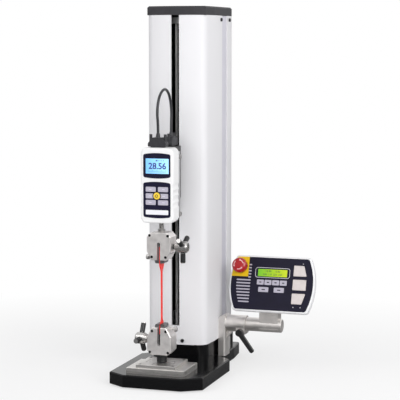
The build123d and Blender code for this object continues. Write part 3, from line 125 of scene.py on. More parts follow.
# Figures: height, depth, spacing, boldness; a capital takes this share of the text size
GAUGE_FIGURES = (11.5, 0.06, 0.98, 0.32)
PANEL_FIGURES = (3.6, 0.05, 1.1, 0.1)
FIGURE_LIFT = 0.32
CAPITAL_SHARE = 0.7

# Column and pedestal, as in the solids but with the corners rounded
COLUMN_LOW = 60.0
COLUMN_TOP = 712.0
COLUMN_NOSE = 81.0
COLUMN_CORNER = (60.5, 91.0)
COLUMN_FLANK = (63.3, 140.0)
COLUMN_BEVEL_Y = 256.0
COLUMN_REAR = (50.0, 294.0)
COLUMN_ROUND = 17.0
COLUMN_WALL = 5.0
COLUMN_SOFT = 22.0
BOW_STEPS = 12
BOW_SLOPE = 0.2
FRONT_DEPTH = 110.0
GROOVE = (190.0, 225.0)
GROOVE_DEPTH = 2.4
STRIP_THICK = 0.5
STRIP_GAP = 1.2
STRIP_SHORT = 0.5
SLOT_HALF = 8.5
SLOT_LOW = 98.0
SLOT_SLOPE = 0.03
# Painted shade: a thin black sheet just inside the column's walls, standing for its dark inside
SHADE_SHEET_DEPTHS = (0.1, 0.7)
SHADE_SHEET_GAP = 6.0
SHADE_SHEET_SHARE = 0.995
SHADE_SHEET_SHORT = 1.0
PEDESTAL_LOW = 24.0
PEDESTAL = (58.0, 98.0, 290.0)
PEDESTAL_ROUND = 20.0
PEDESTAL_REAR_ROUND = 3.0
PEDESTAL_SOFT = 25.0
INLET_BAY = (46.0, 244.0, 278.0, 51.0)
MOTOR_WELL = 21.6

# Drive
SCREW_Y = 124.0
SCREW_CREST_R = 7.0
SCREW_ROOT_R = 6.1
SCREW_LEAD = 10.0
SCREW_STARTS = 2
SCREW_END_R = 6.0
SCREW_BEVEL = 1.0
JOURNAL_R = 6.9
JOURNAL_LOW = 88.0
JOURNAL_HIGH = 694.0
THREAD_INSET = 2.0
THREAD_SHARE = 0.62
THREAD_SINK = 0.1
THREAD_SOFT = 35.0
TURNED_SOFT = 30.0
COUPLING_R = 9.5
COUPLING_EDGE = 0.8
COUPLING_TOP = 73.0
LIMIT_ROD_X = 19.0
LIMIT_ROD_Y = 147.0
LIMIT_ROD_R = 2.9
LIMIT_ROD_SHORT = 2.0
HOLDER_HALF = 5.0
HOLDER_BACK = 4.0
HOLDER_ROUND = 2.0
HOLDER_SHORT = 1.0
BEARING_BACK = 141.0
BEARING_HEIGHTS = ((74.0, 86.0), (696.0, 708.0))
SHAFT_THREAD = (301.3, 315.0)
SHAFT_THREAD_ROOT = 4.2
SHAFT_THREAD_CREST = 4.75
SHAFT_THREAD_LEAD = 1.25

# Knurled sleeves: radius, length, number of ridges
KNURL_DEPTH = 0.25
KNURL_EDGE = 0.5
KNOB_KNURL = (4.25, 3.6, 22)
KNOB_KNURL_X = 28.2
KNOB_FROM_END = 4.0
PIN_KNURL = (5.15, 4.8, 26)
PIN_KNURL_START = 5.6

# Gauge face
GAUGE_FACE = -25.4
GAUGE_SCREEN = (-23.0, 23.4, 410.3, 439.2)
GAUGE_SCREEN_FACE = -24.8
GAUGE_SCREEN_ROUND = 1.0
GAUGE_READING = "28.56"
GAUGE_READING_PLACE = (0.5, 424.4)

# Small signs on the screen: left, low, width, height
GAUGE_SIGNS = [(-2.6, 434.2, 3.4, 2.2)] + [(x, 434.8, 1.4, 1.2) for x in (3.2, 7.6, 12.0)]
GAUGE_SCALE = [(-18.0, 413.6, 36.0, 0.5)] + [(-18.0 + 8.8 * i, 415.6, 0.5, 1.4) for i in range(5)]
GAUGE_KEY_ROWS = (380.4, 367.7, 355.2)
GAUGE_KEY_COLUMNS = ((-1, -12.6), (1, 12.2))
GAUGE_KEY_W = 20.4
GAUGE_KEY_H = 9.5
GAUGE_KEY_INNER = 3.2
KEY_ROUND = 1.5
GAUGE_ICON_COLUMNS = (-13.6, 13.2)
GAUGE_ICON_HALF = (2.6, 0.35)
GAUGE_BAR = (-23.0, 22.6, 331.8, 340.9)
GAUGE_BAR_ROUND = 1.6
BUTTON_X = -0.5
BUTTON_Z = 367.8
BUTTON_RING_R = 8.5
BUTTON_RING_BORE = 7.15
BUTTON_RING_SHOULDER = 0.7
BUTTON_RING_RISE = 0.95
BUTTON_RING_BEVEL = 0.3
BUTTON_SIGN = (2.0, 3.0)
BUTTON_SIGN_BACK = 1.5
BUTTON_SIGN_RISE = 1.78
BUTTON_SIGN_EDGE = 0.1

# Panel: its own frame has x to the right, z up its face and y into it; heights from its middle
PANEL_X = 175.0
AXIS_Y = 183.0
AXIS_Z = 90.0
TILT = 19.0
PANEL_UP = 76.7
LABEL_FACE = -45.0
PANEL_SCREEN_FACE = -44.5
PANEL_SCREEN = (-30.1, 30.3, 15.0, 29.8)
PANEL_SCREEN_ROUND = 0.8
PANEL_READINGS = ("12.50     0.50", "0.0  1.0  2.0  3.0")
PANEL_READING_X = 0.1
PANEL_READING_Z = 25.6
PANEL_READING_PITCH = 6.4
SCREEN_LINE = (-35.5, 36.0, 12.3, 33.0)
SCREEN_LINE_ROUND = 5.0
SCREEN_LINE_WIDTH = 0.7
SCREEN_LINE_DEPTHS = (0.02, 0.16)

# Keys: x, z, width, height
SMALL_KEYS = [(-23.5 + 15.85 * i, 2.9, 14.4, 10.2) for i in range(4)]
MEDIUM_KEYS = [(side * 16.1, -11.9, 21.0, 10.0) for side in (-1, 1)]
KEY_SIGN_SHARE = 0.17
KEY_SIGN_HALF = 1.1
KEY_SIGN_ROUND = 0.9
BAR_COUNT = 13
BAR_TOP = 37.6
BAR_PITCH = 6.3
BAR_HALF = 1.35
BAR_RIGHT = -44.0
BAR_LEFT = -73.4
BAR_BULGE = 7.0
BAR_BULGE_HEIGHT = 38.0
BAR_ROUND = 1.2
STUB_LEFT = -49.6
STUB_ROUND = 0.5
STUB_LOW = 11.5
SPOTS = ((62.0, 43.6), (48.0, -44.6), (62.5, -44.6))
SPOT_HALF = 0.9
SPOT_ROUND = 0.85

# Stop head and its arrows
STOP_X = -66.0
STOP_Z = 33.0
STOP_CROWN = -68.0
STOP_FLAT_R = 6.2
STOP_FALL = 0.18
ARROW_COUNT = 3
ARROW_START = 18
ARROW_RADII = (8.6, 10.4)
ARROW_STEPS = 8
ARROW_STEP = 7.0
ARROW_WIDER = 1.3
ARROW_TIP = 15.0
ARROW_LIFTS = (-0.1, 0.12)


# Materials

def new_node(nodes, kind, **values):
    node = nodes.new(kind)
    for name, value in values.items():
        setattr(node, name, value)
    return node


class Finish:
    """A node material built round one principled shader."""

    def __init__(self, name, color, roughness, metallic=0.0, **shader_values):
        self.name = name
        self.material = bpy.data.materials.new(name)
        self.material.use_nodes = True
        self.nodes = self.material.node_tree.nodes
        self.links = self.material.node_tree.links
        self.shader = self.nodes["Principled BSDF"]
        self.color = color
        self.roughness = roughness
        self.shader.inputs["Base Color"].default_value = (*color, 1.0)
        self.shader.inputs["Roughness"].default_value = roughness
        self.shader.inputs["Metallic"].default_value = metallic
        for socket, value in shader_values.items():
            self.shader.inputs[socket.replace("_", " ")].default_value = value

    def new(self, kind, **values):
        return new_node(self.nodes, kind, **values)

    def coordinates(self, stretch):
        place = self.new("ShaderNodeTexCoord")
        mapping = self.new("ShaderNodeMapping")
        mapping.inputs["Scale"].default_value = stretch
        self.links.new(place.outputs["Object"], mapping.inputs["Vector"])
        return mapping.outputs["Vector"]

    def noise(self, scale, detail, stretch):
        node = self.new("ShaderNodeTexNoise")
        node.inputs["Scale"].default_value = scale
        node.inputs["Detail"].default_value = detail
        self.links.new(self.coordinates(stretch), node.inputs["Vector"])
        return node.outputs["Fac"]

    def ramp(self, value, low, high, out_low=0.0, out_high=1.0):
        node = self.new("ShaderNodeMapRange")
        node.inputs["From Min"].default_value = low
        node.inputs["From Max"].default_value = high
        node.inputs["To Min"].default_value = out_low
        node.inputs["To Max"].default_value = out_high
        self.links.new(value, node.inputs["Value"])
        return node.outputs["Result"]

    def mottle(self, scale, spread, detail=4.0, stretch=(1.0, 1.0, 1.0)):
        """Let the colour drift a little lighter and darker."""
        mix = self.new("ShaderNodeMix", data_type="RGBA")
        mix.inputs[MIX_LOW].default_value = (*[c * (1 - spread) for c in self.color], 1.0)
        mix.inputs[MIX_HIGH].default_value = (*[min(1.0, c * (1 + spread)) for c in self.color], 1.0)
        drift = self.ramp(self.noise(scale, detail, stretch), *NOISE_SPAN)
        self.links.new(drift, mix.inputs[MIX_FACTOR])
        self.links.new(mix.outputs[MIX_RESULT], self.shader.inputs["Base Color"])
        return self

    def wear(self, scale, spread, stretch=(1.0, 1.0, 1.0)):
        """Let the gloss drift."""
        low, high = self.roughness - spread, self.roughness + spread
        value = self.ramp(self.noise(scale, WEAR_DETAIL, stretch), *NOISE_SPAN, low, high)
        self.links.new(value, self.shader.inputs["Roughness"])
        return self

    def grain(self, scale, strength, distance, detail=4.0, stretch=(1.0, 1.0, 1.0)):
        """Fine relief; distance in metres."""
        bump = self.new("ShaderNodeBump")
        bump.inputs["Strength"].default_value = strength
        bump.inputs["Distance"].default_value = distance
        self.links.new(self.noise(scale, detail, stretch), bump.inputs["Height"])
        self.links.new(bump.outputs["Normal"], self.shader.inputs["Normal"])
        return self

    def glow(self, high, strength, span):
        """Light the face up, with its colour drifting across x, in metres, to a second one."""
        split = self.new("ShaderNodeSeparateXYZ")
        place = self.new("ShaderNodeTexCoord")
        self.links.new(place.outputs["Object"], split.inputs["Vector"])
        mix = self.new("ShaderNodeMix", data_type="RGBA")
        mix.inputs[MIX_LOW].default_value = (*self.color, 1.0)
        mix.inputs[MIX_HIGH].default_value = (*high, 1.0)
        self.links.new(self.ramp(split.outputs["X"], -span, span), mix.inputs[MIX_FACTOR])
        self.links.new(mix.outputs[MIX_RESULT], self.shader.inputs["Base Color"])
        self.links.new(mix.outputs[MIX_RESULT], self.shader.inputs["Emission Color"])
        self.shader.inputs["Emission Strength"].default_value = strength
        return self


def metals():
    return (
        Finish("plate_steel", (0.64, 0.62, 0.60), 0.36, 1.0)
        .mottle(60.0, 0.12, 5.0, (1.0, 12.0, 6.0))
        .wear(80.0, 0.09, (1.0, 14.0, 6.0))
        .grain(260.0, 0.14, 0.0001, 5.0, (1.0, 16.0, 8.0)),
        Finish("rail_steel", (0.86, 0.85, 0.84), 0.34, 1.0).wear(60.0, 0.05, (3.0, 3.0, 0.2)),
        Finish("screw_steel", (0.42, 0.41, 0.40), 0.3, 1.0).mottle(200.0, 0.1).wear(150.0, 0.08),
        Finish("inner_alu", (0.55, 0.55, 0.56), 0.38, 1.0).mottle(90.0, 0.08, 4.0, (8.0, 1.0, 1.0)),
        Finish("nut_bronze", (0.55, 0.36, 0.16), 0.32, 1.0).mottle(120.0, 0.12).wear(90.0, 0.08),
        Finish("knob_steel", (0.50, 0.49, 0.48), 0.34, 1.0).mottle(300.0, 0.1).grain(2400.0, 0.3, 0.0002),
        Finish("grip_steel", (0.88, 0.85, 0.835), 0.46, 1.0)
        .mottle(120.0, 0.06).wear(60.0, 0.06).grain(1900.0, 0.3, 0.00015),
        Finish("jaw_steel", (0.20, 0.20, 0.205), 0.42, 1.0).mottle(160.0, 0.15).grain(1400.0, 0.2, 0.0001),
        Finish("handle_chrome", (0.50, 0.49, 0.48), 0.26, 1.0).wear(70.0, 0.04).mottle(40.0, 0.04),
        Finish("bracket_alu", (0.80, 0.77, 0.745), 0.42, 1.0)
        .mottle(70.0, 0.06).wear(60.0, 0.06).grain(1100.0, 0.3, 0.0002),
    )


def blacks():
    return (
        Finish("black_paint", (0.004, 0.004, 0.0045), 0.17, Specular_IOR_Level=0.2)
        .wear(9.0, 0.05).grain(900.0, 0.05, 0.0002),
        Finish("foot_rubber", (0.015, 0.015, 0.015), 0.85).mottle(300.0, 0.3).grain(1500.0, 0.3, 0.0002),
        Finish("screw_black", (0.014, 0.014, 0.015), 0.38, 0.4).wear(400.0, 0.1).grain(1400.0, 0.15, 0.0001),
        Finish("inlet_black", (0.012, 0.012, 0.013), 0.5).mottle(200.0, 0.2).grain(1800.0, 0.2, 0.0001),
        Finish("cap_grey", (0.022, 0.021, 0.025), 0.6).mottle(150.0, 0.15).grain(1600.0, 0.35, 0.0002),
        Finish("crosshead_black", (0.015, 0.015, 0.016), 0.34).wear(50.0, 0.06).grain(1800.0, 0.18, 0.0001),
        Finish("motor_black", (0.02, 0.02, 0.021), 0.5).mottle(120.0, 0.15).grain(900.0, 0.2, 0.0001),
        Finish("plug_black", (0.022, 0.022, 0.026), 0.5).mottle(220.0, 0.2).grain(1500.0, 0.3, 0.0002),
        Finish("lead_black", (0.014, 0.014, 0.018), 0.42, Sheen_Weight=0.1)
        .wear(120.0, 0.08).grain(1800.0, 0.15, 0.0001),
        Finish("sleeve_black", (0.009, 0.009, 0.01), 0.36).mottle(200.0, 0.2).grain(1600.0, 0.18, 0.0001),
        Finish("lever_black", (0.01, 0.01, 0.011), 0.38).wear(160.0, 0.06).grain(1500.0, 0.15, 0.0001),
        # Black sheet inside the column: painted shade for its dark inside
        Finish("painted_shade_black", (0.01, 0.01, 0.011), 0.8, Specular_IOR_Level=0.2).mottle(40.0, 0.2),
    )


def paints_and_plastics():
    return (
        Finish("side_grey", (0.50, 0.49, 0.48), 0.45).mottle(40.0, 0.05).grain(1200.0, 0.12, 0.0001),
        Finish("column_paint", (0.715, 0.71, 0.725), 0.42)
        .mottle(6.0, 0.015).wear(30.0, 0.05, (1.0, 1.0, 0.1)).grain(1500.0, 0.05, 0.0001),
        Finish("strip_lilac", (0.56, 0.55, 0.61), 0.4).mottle(20.0, 0.03).wear(30.0, 0.04, (1.0, 1.0, 0.1)),
        # Pale colour of the limit rods: a painted highlight, standing for the shine of polished steel rods
        Finish("rod_painted_highlight", (0.88, 0.87, 0.86), 0.3).mottle(40.0, 0.03),
        Finish("gauge_white", (0.80, 0.80, 0.80), 0.42).mottle(25.0, 0.012).grain(2200.0, 0.12, 0.0001),
        Finish("panel_white", (0.76, 0.76, 0.77), 0.42).mottle(25.0, 0.012).grain(2200.0, 0.12, 0.0001),
        Finish("label_navy", (0.008, 0.008, 0.026), 0.3, Specular_IOR_Level=0.25)
        .mottle(80.0, 0.12).grain(2600.0, 0.06, 0.0001),
        Finish("panel_navy", (0.006, 0.005, 0.018), 0.32, Specular_IOR_Level=0.25)
        .mottle(60.0, 0.12).grain(2600.0, 0.06, 0.0001),
        Finish("button_yellow", (0.86, 0.60, 0.04), 0.34).mottle(200.0, 0.05).grain(2000.0, 0.06, 0.0001),
        Finish("stop_yellow", (0.80, 0.52, 0.01), 0.4, Specular_IOR_Level=0.3)
        .mottle(120.0, 0.04).grain(2200.0, 0.06, 0.0001),
        Finish("stop_red", (0.38, 0.003, 0.008), 0.2, Coat_Weight=0.2, Coat_Roughness=0.05)
        .mottle(60.0, 0.06),
        Finish("specimen_red", (0.80, 0.018, 0.010), 0.45).mottle(90.0, 0.08).grain(900.0, 0.1, 0.0001),
        Finish("key_beige", (0.62, 0.565, 0.55), 0.42).mottle(160.0, 0.03).grain(2400.0, 0.1, 0.0001),
    )


def prints():
    return (
        Finish("print_pale", (0.80, 0.80, 0.84), 0.4).mottle(150.0, 0.02),
        Finish("print_dark", (0.012, 0.012, 0.02), 0.4).mottle(150.0, 0.1),
        Finish("arrow_pale", (0.75, 0.45, 0.47), 0.35).mottle(150.0, 0.05),
        Finish("field_lilac", (0.44, 0.42, 0.50), 0.42).mottle(150.0, 0.04).grain(2400.0, 0.08, 0.0001),
        Finish("gauge_lcd", (0.16, 0.42, 0.78), 0.25).glow((0.36, 0.68, 0.95), 0.45, 0.026),
        Finish("panel_lcd", (0.13, 0.40, 0.015), 0.25).glow((0.42, 0.50, 0.01), 0.35, 0.03),
        Finish("lcd_ink", (0.035, 0.03, 0.22), 0.35).mottle(300.0, 0.1),
        Finish("lcd_ink_green", (0.015, 0.09, 0.01), 0.35).mottle(300.0, 0.1),
    )


FINISHES = metals() + blacks() + paints_and_plastics() + prints()
MATERIALS = {finish.name: finish.material for finish in FINISHES}


def dress_nodes():
    """Give every carried-over node the finish of its slot in the record."""
    for part in frame["record"]["subparts"]:
        node = frame["nodes"][part["node"]]
        node.data.materials.clear()
        node.data.materials.append(MATERIALS[part["material_slot"]])


# Pieces

def place_object(name, data):
    placed = bpy.data.objects.new(name, data)
    bpy.context.scene.collection.objects.link(placed)
    return placed


def add_piece(name, mesh, material, body, turn=None):
    piece = place_object(name, mesh)
    piece.data.materials.append(MATERIALS[material])
    if turn is not None:
        piece.matrix_world = turn
    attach(piece, body)
    return piece


def finish_mesh(bm, name, soft=None):
    """Mesh with its faces outwards; smooth below the angle soft, in degrees, where one is given."""
    bmesh.ops.recalc_face_normals(bm, faces=bm.faces)
    mesh = bpy.data.meshes.new(name)
    bm.to_mesh(mesh)
    bm.free()
    if soft is not None:
        mesh.shade_smooth()
        mesh.set_sharp_from_angle(angle=math.radians(soft))
    return mesh


def join_rings(bm, low, high):
    """Faces between two rings of as many points."""
    for i in range(len(low)):
        j = (i + 1) % len(low)
        bm.faces.new((low[i], low[j], high[j], high[i]))


def close_ends(bm, rings):
    bm.faces.new(list(reversed(rings[0])))
    bm.faces.new(rings[-1])


def rounded_outline(x0, x1, z0, z1, radius, steps=5):
    """Corner points of a rounded rectangle, anticlockwise."""
    points = []
    for cx, cz, start in ((x1 - radius, z1 - radius, 0), (x0 + radius, z1 - radius, 90),
                          (x0 + radius, z0 + radius, 180), (x1 - radius, z0 + radius, 270)):
        for i in range(steps + 1):
            turn = math.radians(start + 90 * i / steps)
            points.append((cx + radius * math.cos(turn), cz + radius * math.sin(turn)))
    return points


def field(x, z, half_width, half_height, radius, steps=5):
    """A rounded rectangle round its middle, on the panel's face."""
    up = PANEL_UP + z
    return rounded_outline(x - half_width, x + half_width, up - half_height, up + half_height, radius, steps)


def add_slab(bm, outline, face_y, thickness, edge):
    """A thin slab whose front, at face_y, has a small bevel; y grows into the part."""
    cx = sum(x for x, z in outline) / len(outline)
    cz = sum(z for x, z in outline) / len(outline)

    def ring(shrink, y):
        corners = []
        for x, z in outline:
            reach = math.hypot(x - cx, z - cz)
            share = (reach - shrink) / reach
            corners.append(bm.verts.new(((cx + (x - cx) * share) * MM, y * MM, (cz + (z - cz) * share) * MM)))
        return corners

    rings = [ring(0.0, face_y + thickness), ring(0.0, face_y + edge), ring(edge, face_y)]
    close_ends(bm, rings)
    for low, high in zip(rings, rings[1:]):
        join_rings(bm, low, high)


def add_print(name, outlines, slab, material, side, edge=SLAB_EDGE, face="label"):
    """Thin slabs standing proud of the label or the screen of the gauge or the panel."""
    lift, thickness = slab
    bm = bmesh.new()
    for outline in outlines:
        add_slab(bm, outline, side[face] - lift, thickness, edge)
    add_piece(name, finish_mesh(bm, name), material, side["body"], side["turn"])


def add_figures(name, text, place, figures, material, side):
    """Figures lying on a screen that looks towards -Y."""
    height, depth, spacing, bold = figures
    curve = bpy.data.curves.new(name, "FONT")
    curve.body = text
    curve.size = height * MM / CAPITAL_SHARE
    curve.align_x = "CENTER"
    curve.align_y = "CENTER"
    curve.space_character = spacing
    curve.extrude = depth * MM
    curve.resolution_u = 3
    curve.offset = bold * MM
    carrier = place_object(name + "_curve", curve)
    mesh = bpy.data.meshes.new_from_object(carrier)
    bpy.data.objects.remove(carrier)
    bpy.data.curves.remove(curve)
    x, z = place
    spot = Matrix.Translation((x * MM, (side["screen"] - FIGURE_LIFT) * MM, z * MM))
    mesh.transform(spot @ Matrix.Rotation(math.radians(90), 4, "X"))
    add_piece(name, mesh, material, side["body"], side["turn"])


def arc_points(centre, radius, start, end, steps):
    """Points of an arc from one angle to another, in degrees."""
    angles = [math.radians(start + (end - start) * i / steps) for i in range(steps + 1)]
    return [(centre[0] + radius * math.cos(a), centre[1] + radius * math.sin(a)) for a in angles]


def rounded(points, radii, steps=8):
    """Closed outline with each corner turned into an arc of its radius; none where it is 0."""
    outline = []
    for i, (corner, radius) in enumerate(zip(points, radii)):
        here = Vector(corner)
        back = (Vector(points[i - 1]) - here).normalized()
        ahead = (Vector(points[(i + 1) % len(points)]) - here).normalized()
        half = back.angle(ahead) / 2
        if radius == 0 or half > math.radians(STRAIGHT_HALF):
            outline.append(tuple(here))
            continue
        centre = here + (back + ahead).normalized() * radius / math.sin(half)
        start = here + back * radius / math.tan(half) - centre
        end = here + ahead * radius / math.tan(half) - centre
        sweep = math.pi - 2 * half
        for k in range(steps + 1):
            share = k / steps
            arm = start * math.sin((1 - share) * sweep) + end * math.sin(share * sweep)
            outline.append(tuple(centre + arm.normalized() * radius))
    return outline


def add_prism(bm, loops, low, high):
    """Walls and ends between two heights; the first loop is the outside, the others are holes."""
    ends = {low: [], high: []}
    for loop in loops:
        rings = {z: [bm.verts.new((x * MM, y * MM, z * MM)) for x, y in loop] for z in (low, high)}
        join_rings(bm, rings[low], rings[high])
        for z in (low, high):
            ring = rings[z]
            ends[z] += [bm.edges.get(pair) for pair in zip(ring, ring[1:] + ring[:1])]
    for edges in ends.values():
        bmesh.ops.triangle_fill(bm, use_beauty=True, use_dissolve=False, edges=edges)


def axis_frame(axis):
    along = Vector(axis).normalized()
    side = along.orthogonal().normalized()
    return along, side, along.cross(side)


def add_lathe(bm, profile, axis_start, axis, steps=32):
    """Turn (distance along the axis, radius) pairs about the axis."""
    start = Vector(axis_start)
    along, side, other = axis_frame(axis)
    rings = []
    for distance, radius in profile:
        if radius == 0:
            rings.append([bm.verts.new((start + along * distance) * MM)])
            continue
        ring = []
        for i in range(steps):
            turn = 2 * math.pi * i / steps
            arm = side * math.cos(turn) + other * math.sin(turn)
            ring.append(bm.verts.new((start + along * distance + arm * radius) * MM))
        rings.append(ring)
    for low, high in zip(rings, rings[1:]):
        for i in range(steps):
            j = (i + 1) % steps
            corners = [low[i % len(low)], low[j % len(low)], high[j % len(high)], high[i % len(high)]]
            corners = list(dict.fromkeys(corners))
            if len(corners) > 2:
                bm.faces.new(corners)


def add_thread(bm, centre, low, high, root, crest, lead, starts, steps=28):
    """Helical ridges standing on a core."""
    width = lead / starts * THREAD_SHARE
    ridge = ((root, -width / 2), (crest, -width / 5), (crest, width / 5), (root, width / 2))
    count = int((high - low) / lead * steps)
    for start in range(starts):
        rows = []
        for i in range(count + 1):
            turn = 2 * math.pi * (i / steps + start / starts)
            z = low + (high - low) * i / count
            row = []
            for radius, drop in ridge:
                x = centre[0] + radius * math.cos(turn)
                y = centre[1] + radius * math.sin(turn)
                height = min(max(z + drop, low), high)
                row.append(bm.verts.new((x * MM, y * MM, height * MM)))
            rows.append(row)
        for one, two in zip(rows, rows[1:]):
            join_rings(bm, one, two)
        close_ends(bm, rows)


def add_knurl(bm, start, axis, knurl):
    """A sleeve of fine straight ridges, closed at both ends."""
    radius, length, count = knurl
    along, side, other = axis_frame(axis)
    stations = ((0.0, KNURL_EDGE), (KNURL_EDGE, 0.0), (length - KNURL_EDGE, 0.0), (length, KNURL_EDGE))
    rings = []
    for distance, shrink in stations:
        ring = []
        for i in range(2 * count):
            turn = math.pi * i / count
            reach = radius - shrink - (KNURL_DEPTH if i % 2 else 0.0)
            arm = side * math.cos(turn) + other * math.sin(turn)
            ring.append(bm.verts.new((Vector(start) + along * distance + arm * reach) * MM))
        rings.append(ring)
    close_ends(bm, rings)
    for low, high in zip(rings, rings[1:]):
        join_rings(bm, low, high)


# Column, pedestal and drive

def column_outline(inset):
    """The column's section, drawn in by inset; the grooves are in the outer one only."""
    corner_x, corner_y = COLUMN_CORNER
    sag = corner_y - COLUMN_NOSE
    radius = (corner_x ** 2 + sag ** 2) / (2 * sag)
    spread = math.degrees(math.asin(corner_x / radius))
    bow = arc_points((0.0, COLUMN_NOSE + radius), radius - inset, -90 - spread, -90 + spread, BOW_STEPS)
    corner = (corner_x - inset, corner_y + inset * BOW_SLOPE)
    front = [(-corner[0], corner[1])] + bow[2:-2] + [corner]
    flank = COLUMN_FLANK[0] - inset
    right = [(flank, COLUMN_FLANK[1])]
    if inset == 0:
        groove = flank - GROOVE_DEPTH
        right += [(flank, GROOVE[0]), (groove, GROOVE[0]), (groove, GROOVE[1]), (flank, GROOVE[1])]
    right += [(flank, COLUMN_BEVEL_Y), (COLUMN_REAR[0] - inset, COLUMN_REAR[1] - inset)]
    points = front + right + [(-x, y) for x, y in reversed(right)]
    radii = [0.0] * len(points)
    radii[0] = radii[len(front) - 1] = COLUMN_ROUND - inset
    return rounded(points, radii)


def cut_slot(outline, half):
    """Open outline from one side of the slot round the back to the other side."""
    front = [i for i, (x, y) in enumerate(outline) if abs(x) < half and y < FRONT_DEPTH]
    rest = outline[max(front) + 1:] + outline[:min(front)]
    first, last = rest[0], rest[-1]
    right = (half, first[1] - (first[0] - half) * SLOT_SLOPE)
    left = (-half, last[1] + (half + last[0]) * SLOT_SLOPE)
    return [right] + rest + [left]


def make_skin():
    outer = column_outline(0.0)
    inner = column_outline(COLUMN_WALL)
    bm = bmesh.new()
    add_prism(bm, [outer, inner], COLUMN_LOW, SLOT_LOW)
    open_wall = cut_slot(outer, SLOT_HALF) + list(reversed(cut_slot(inner, SLOT_HALF)))
    add_prism(bm, [open_wall], SLOT_LOW, COLUMN_TOP)
    mesh = finish_mesh(bm, "column_skin", COLUMN_SOFT)
    skin = add_piece("column_skin", mesh, "column_paint", "frame")
    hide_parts("column")


def make_painted_shade_sheet():
    """A thin black sheet just inside the column's walls: painted shade for the column's dark inside."""
    bm = bmesh.new()
    faces = []
    for depth in SHADE_SHEET_DEPTHS:
        cut = cut_slot(column_outline(COLUMN_WALL + depth), SLOT_HALF + SHADE_SHEET_GAP)
        faces.append([(x * SHADE_SHEET_SHARE, y) for x, y in cut])
    add_prism(bm, [faces[0] + list(reversed(faces[1]))], SLOT_LOW, COLUMN_TOP - SHADE_SHEET_SHORT)
    mesh = finish_mesh(bm, "column_painted_shade", COLUMN_SOFT)
    add_piece("column_painted_shade", mesh, "painted_shade_black", "frame")


def make_strips():
    """Plain strips in the column's side grooves."""
    bm = bmesh.new()
    floor_x = COLUMN_FLANK[0] - GROOVE_DEPTH
    y0, y1 = GROOVE[0] + STRIP_GAP, GROOVE[1] - STRIP_GAP
    for side in (-1, 1):
        x0, x1 = sorted((side * floor_x, side * (floor_x + STRIP_THICK)))
        strip = [(x0, y0), (x1, y0), (x1, y1), (x0, y1)]
        add_prism(bm, [strip], COLUMN_LOW + STRIP_SHORT, COLUMN_TOP - STRIP_SHORT)
    add_piece("column_strips", finish_mesh(bm, "column_strips"), "strip_lilac", "frame")


def make_pedestal():
    half, front, rear = PEDESTAL
    bay_x, bay_y0, bay_y1, bay_top = INLET_BAY
    corners = [(-half, front), (half, front), (half, rear), (-half, rear)]
    radii = [PEDESTAL_ROUND, PEDESTAL_ROUND, PEDESTAL_REAR_ROUND, PEDESTAL_REAR_ROUND]
    bay = [(half, bay_y0), (bay_x, bay_y0), (bay_x, bay_y1), (half, bay_y1)]
    whole = rounded(corners, radii, 10)
    with_bay = rounded(corners[:2] + bay + corners[2:], radii[:2] + [0] * len(bay) + radii[2:], 10)
    well = [(side * MOTOR_WELL, SCREW_Y + depth * MOTOR_WELL)
            for side, depth in ((-1, -1), (1, -1), (1, 1), (-1, 1))]
    bm = bmesh.new()
    add_prism(bm, [with_bay, well], PEDESTAL_LOW, bay_top)
    add_prism(bm, [whole, well], bay_top, COLUMN_LOW)
    mesh = finish_mesh(bm, "pedestal_skin", PEDESTAL_SOFT)
    body = add_piece("pedestal_skin", mesh, "black_paint", "frame")
    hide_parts("pedestal")


def make_lead_screw():
    """The lead screw with its coupling and a real two-start thread."""
    low, high = (corner.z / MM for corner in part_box("lead_screw"))
    profile = [
        (low, 0), (low, COUPLING_R - COUPLING_EDGE), (low + COUPLING_EDGE, COUPLING_R),
        (COUPLING_TOP - COUPLING_EDGE, COUPLING_R), (COUPLING_TOP, COUPLING_R - COUPLING_EDGE),
        (COUPLING_TOP, JOURNAL_R), (JOURNAL_LOW, JOURNAL_R), (JOURNAL_LOW + SCREW_BEVEL, SCREW_ROOT_R),
        (JOURNAL_HIGH - SCREW_BEVEL, SCREW_ROOT_R), (JOURNAL_HIGH, JOURNAL_R),
        (high - SCREW_BEVEL, JOURNAL_R), (high, SCREW_END_R), (high, 0)]
    bm = bmesh.new()
    add_lathe(bm, profile, (0, SCREW_Y, 0), (0, 0, 1))
    add_thread(bm, (0.0, SCREW_Y), JOURNAL_LOW + THREAD_INSET, JOURNAL_HIGH - THREAD_INSET,
               SCREW_ROOT_R - THREAD_SINK, SCREW_CREST_R, SCREW_LEAD, SCREW_STARTS)
    mesh = finish_mesh(bm, "lead_screw_thread", THREAD_SOFT)
    screw = add_piece("lead_screw_thread", mesh, "screw_steel", "screw_body")
    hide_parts("lead_screw")


def make_limit_rods():
    """Two rods behind the crosshead, held at the bearing blocks; their pale colour is a painted highlight for
    polished rods.
    """
    low = BEARING_HEIGHTS[0][0] + LIMIT_ROD_SHORT
    high = BEARING_HEIGHTS[1][1] - LIMIT_ROD_SHORT
    back = LIMIT_ROD_Y + HOLDER_BACK
    bm = bmesh.new()
    for side in (-1, 1):
        x = side * LIMIT_ROD_X
        profile = [(low, 0), (low, LIMIT_ROD_R), (high, LIMIT_ROD_R), (high, 0)]
        add_lathe(bm, profile, (x, LIMIT_ROD_Y, 0), (0, 0, 1), 20)
        x0, x1 = x - HOLDER_HALF, x + HOLDER_HALF
        corners = [(x0, BEARING_BACK), (x1, BEARING_BACK), (x1, back), (x0, back)]
        holder = rounded(corners, [0, 0, HOLDER_ROUND, HOLDER_ROUND], 4)
        for z0, z1 in BEARING_HEIGHTS:
            add_prism(bm, [holder], z0 + HOLDER_SHORT, z1 - HOLDER_SHORT)
    add_piece("limit_rods", finish_mesh(bm, "limit_rods", TURNED_SOFT), "rod_painted_highlight", "frame")


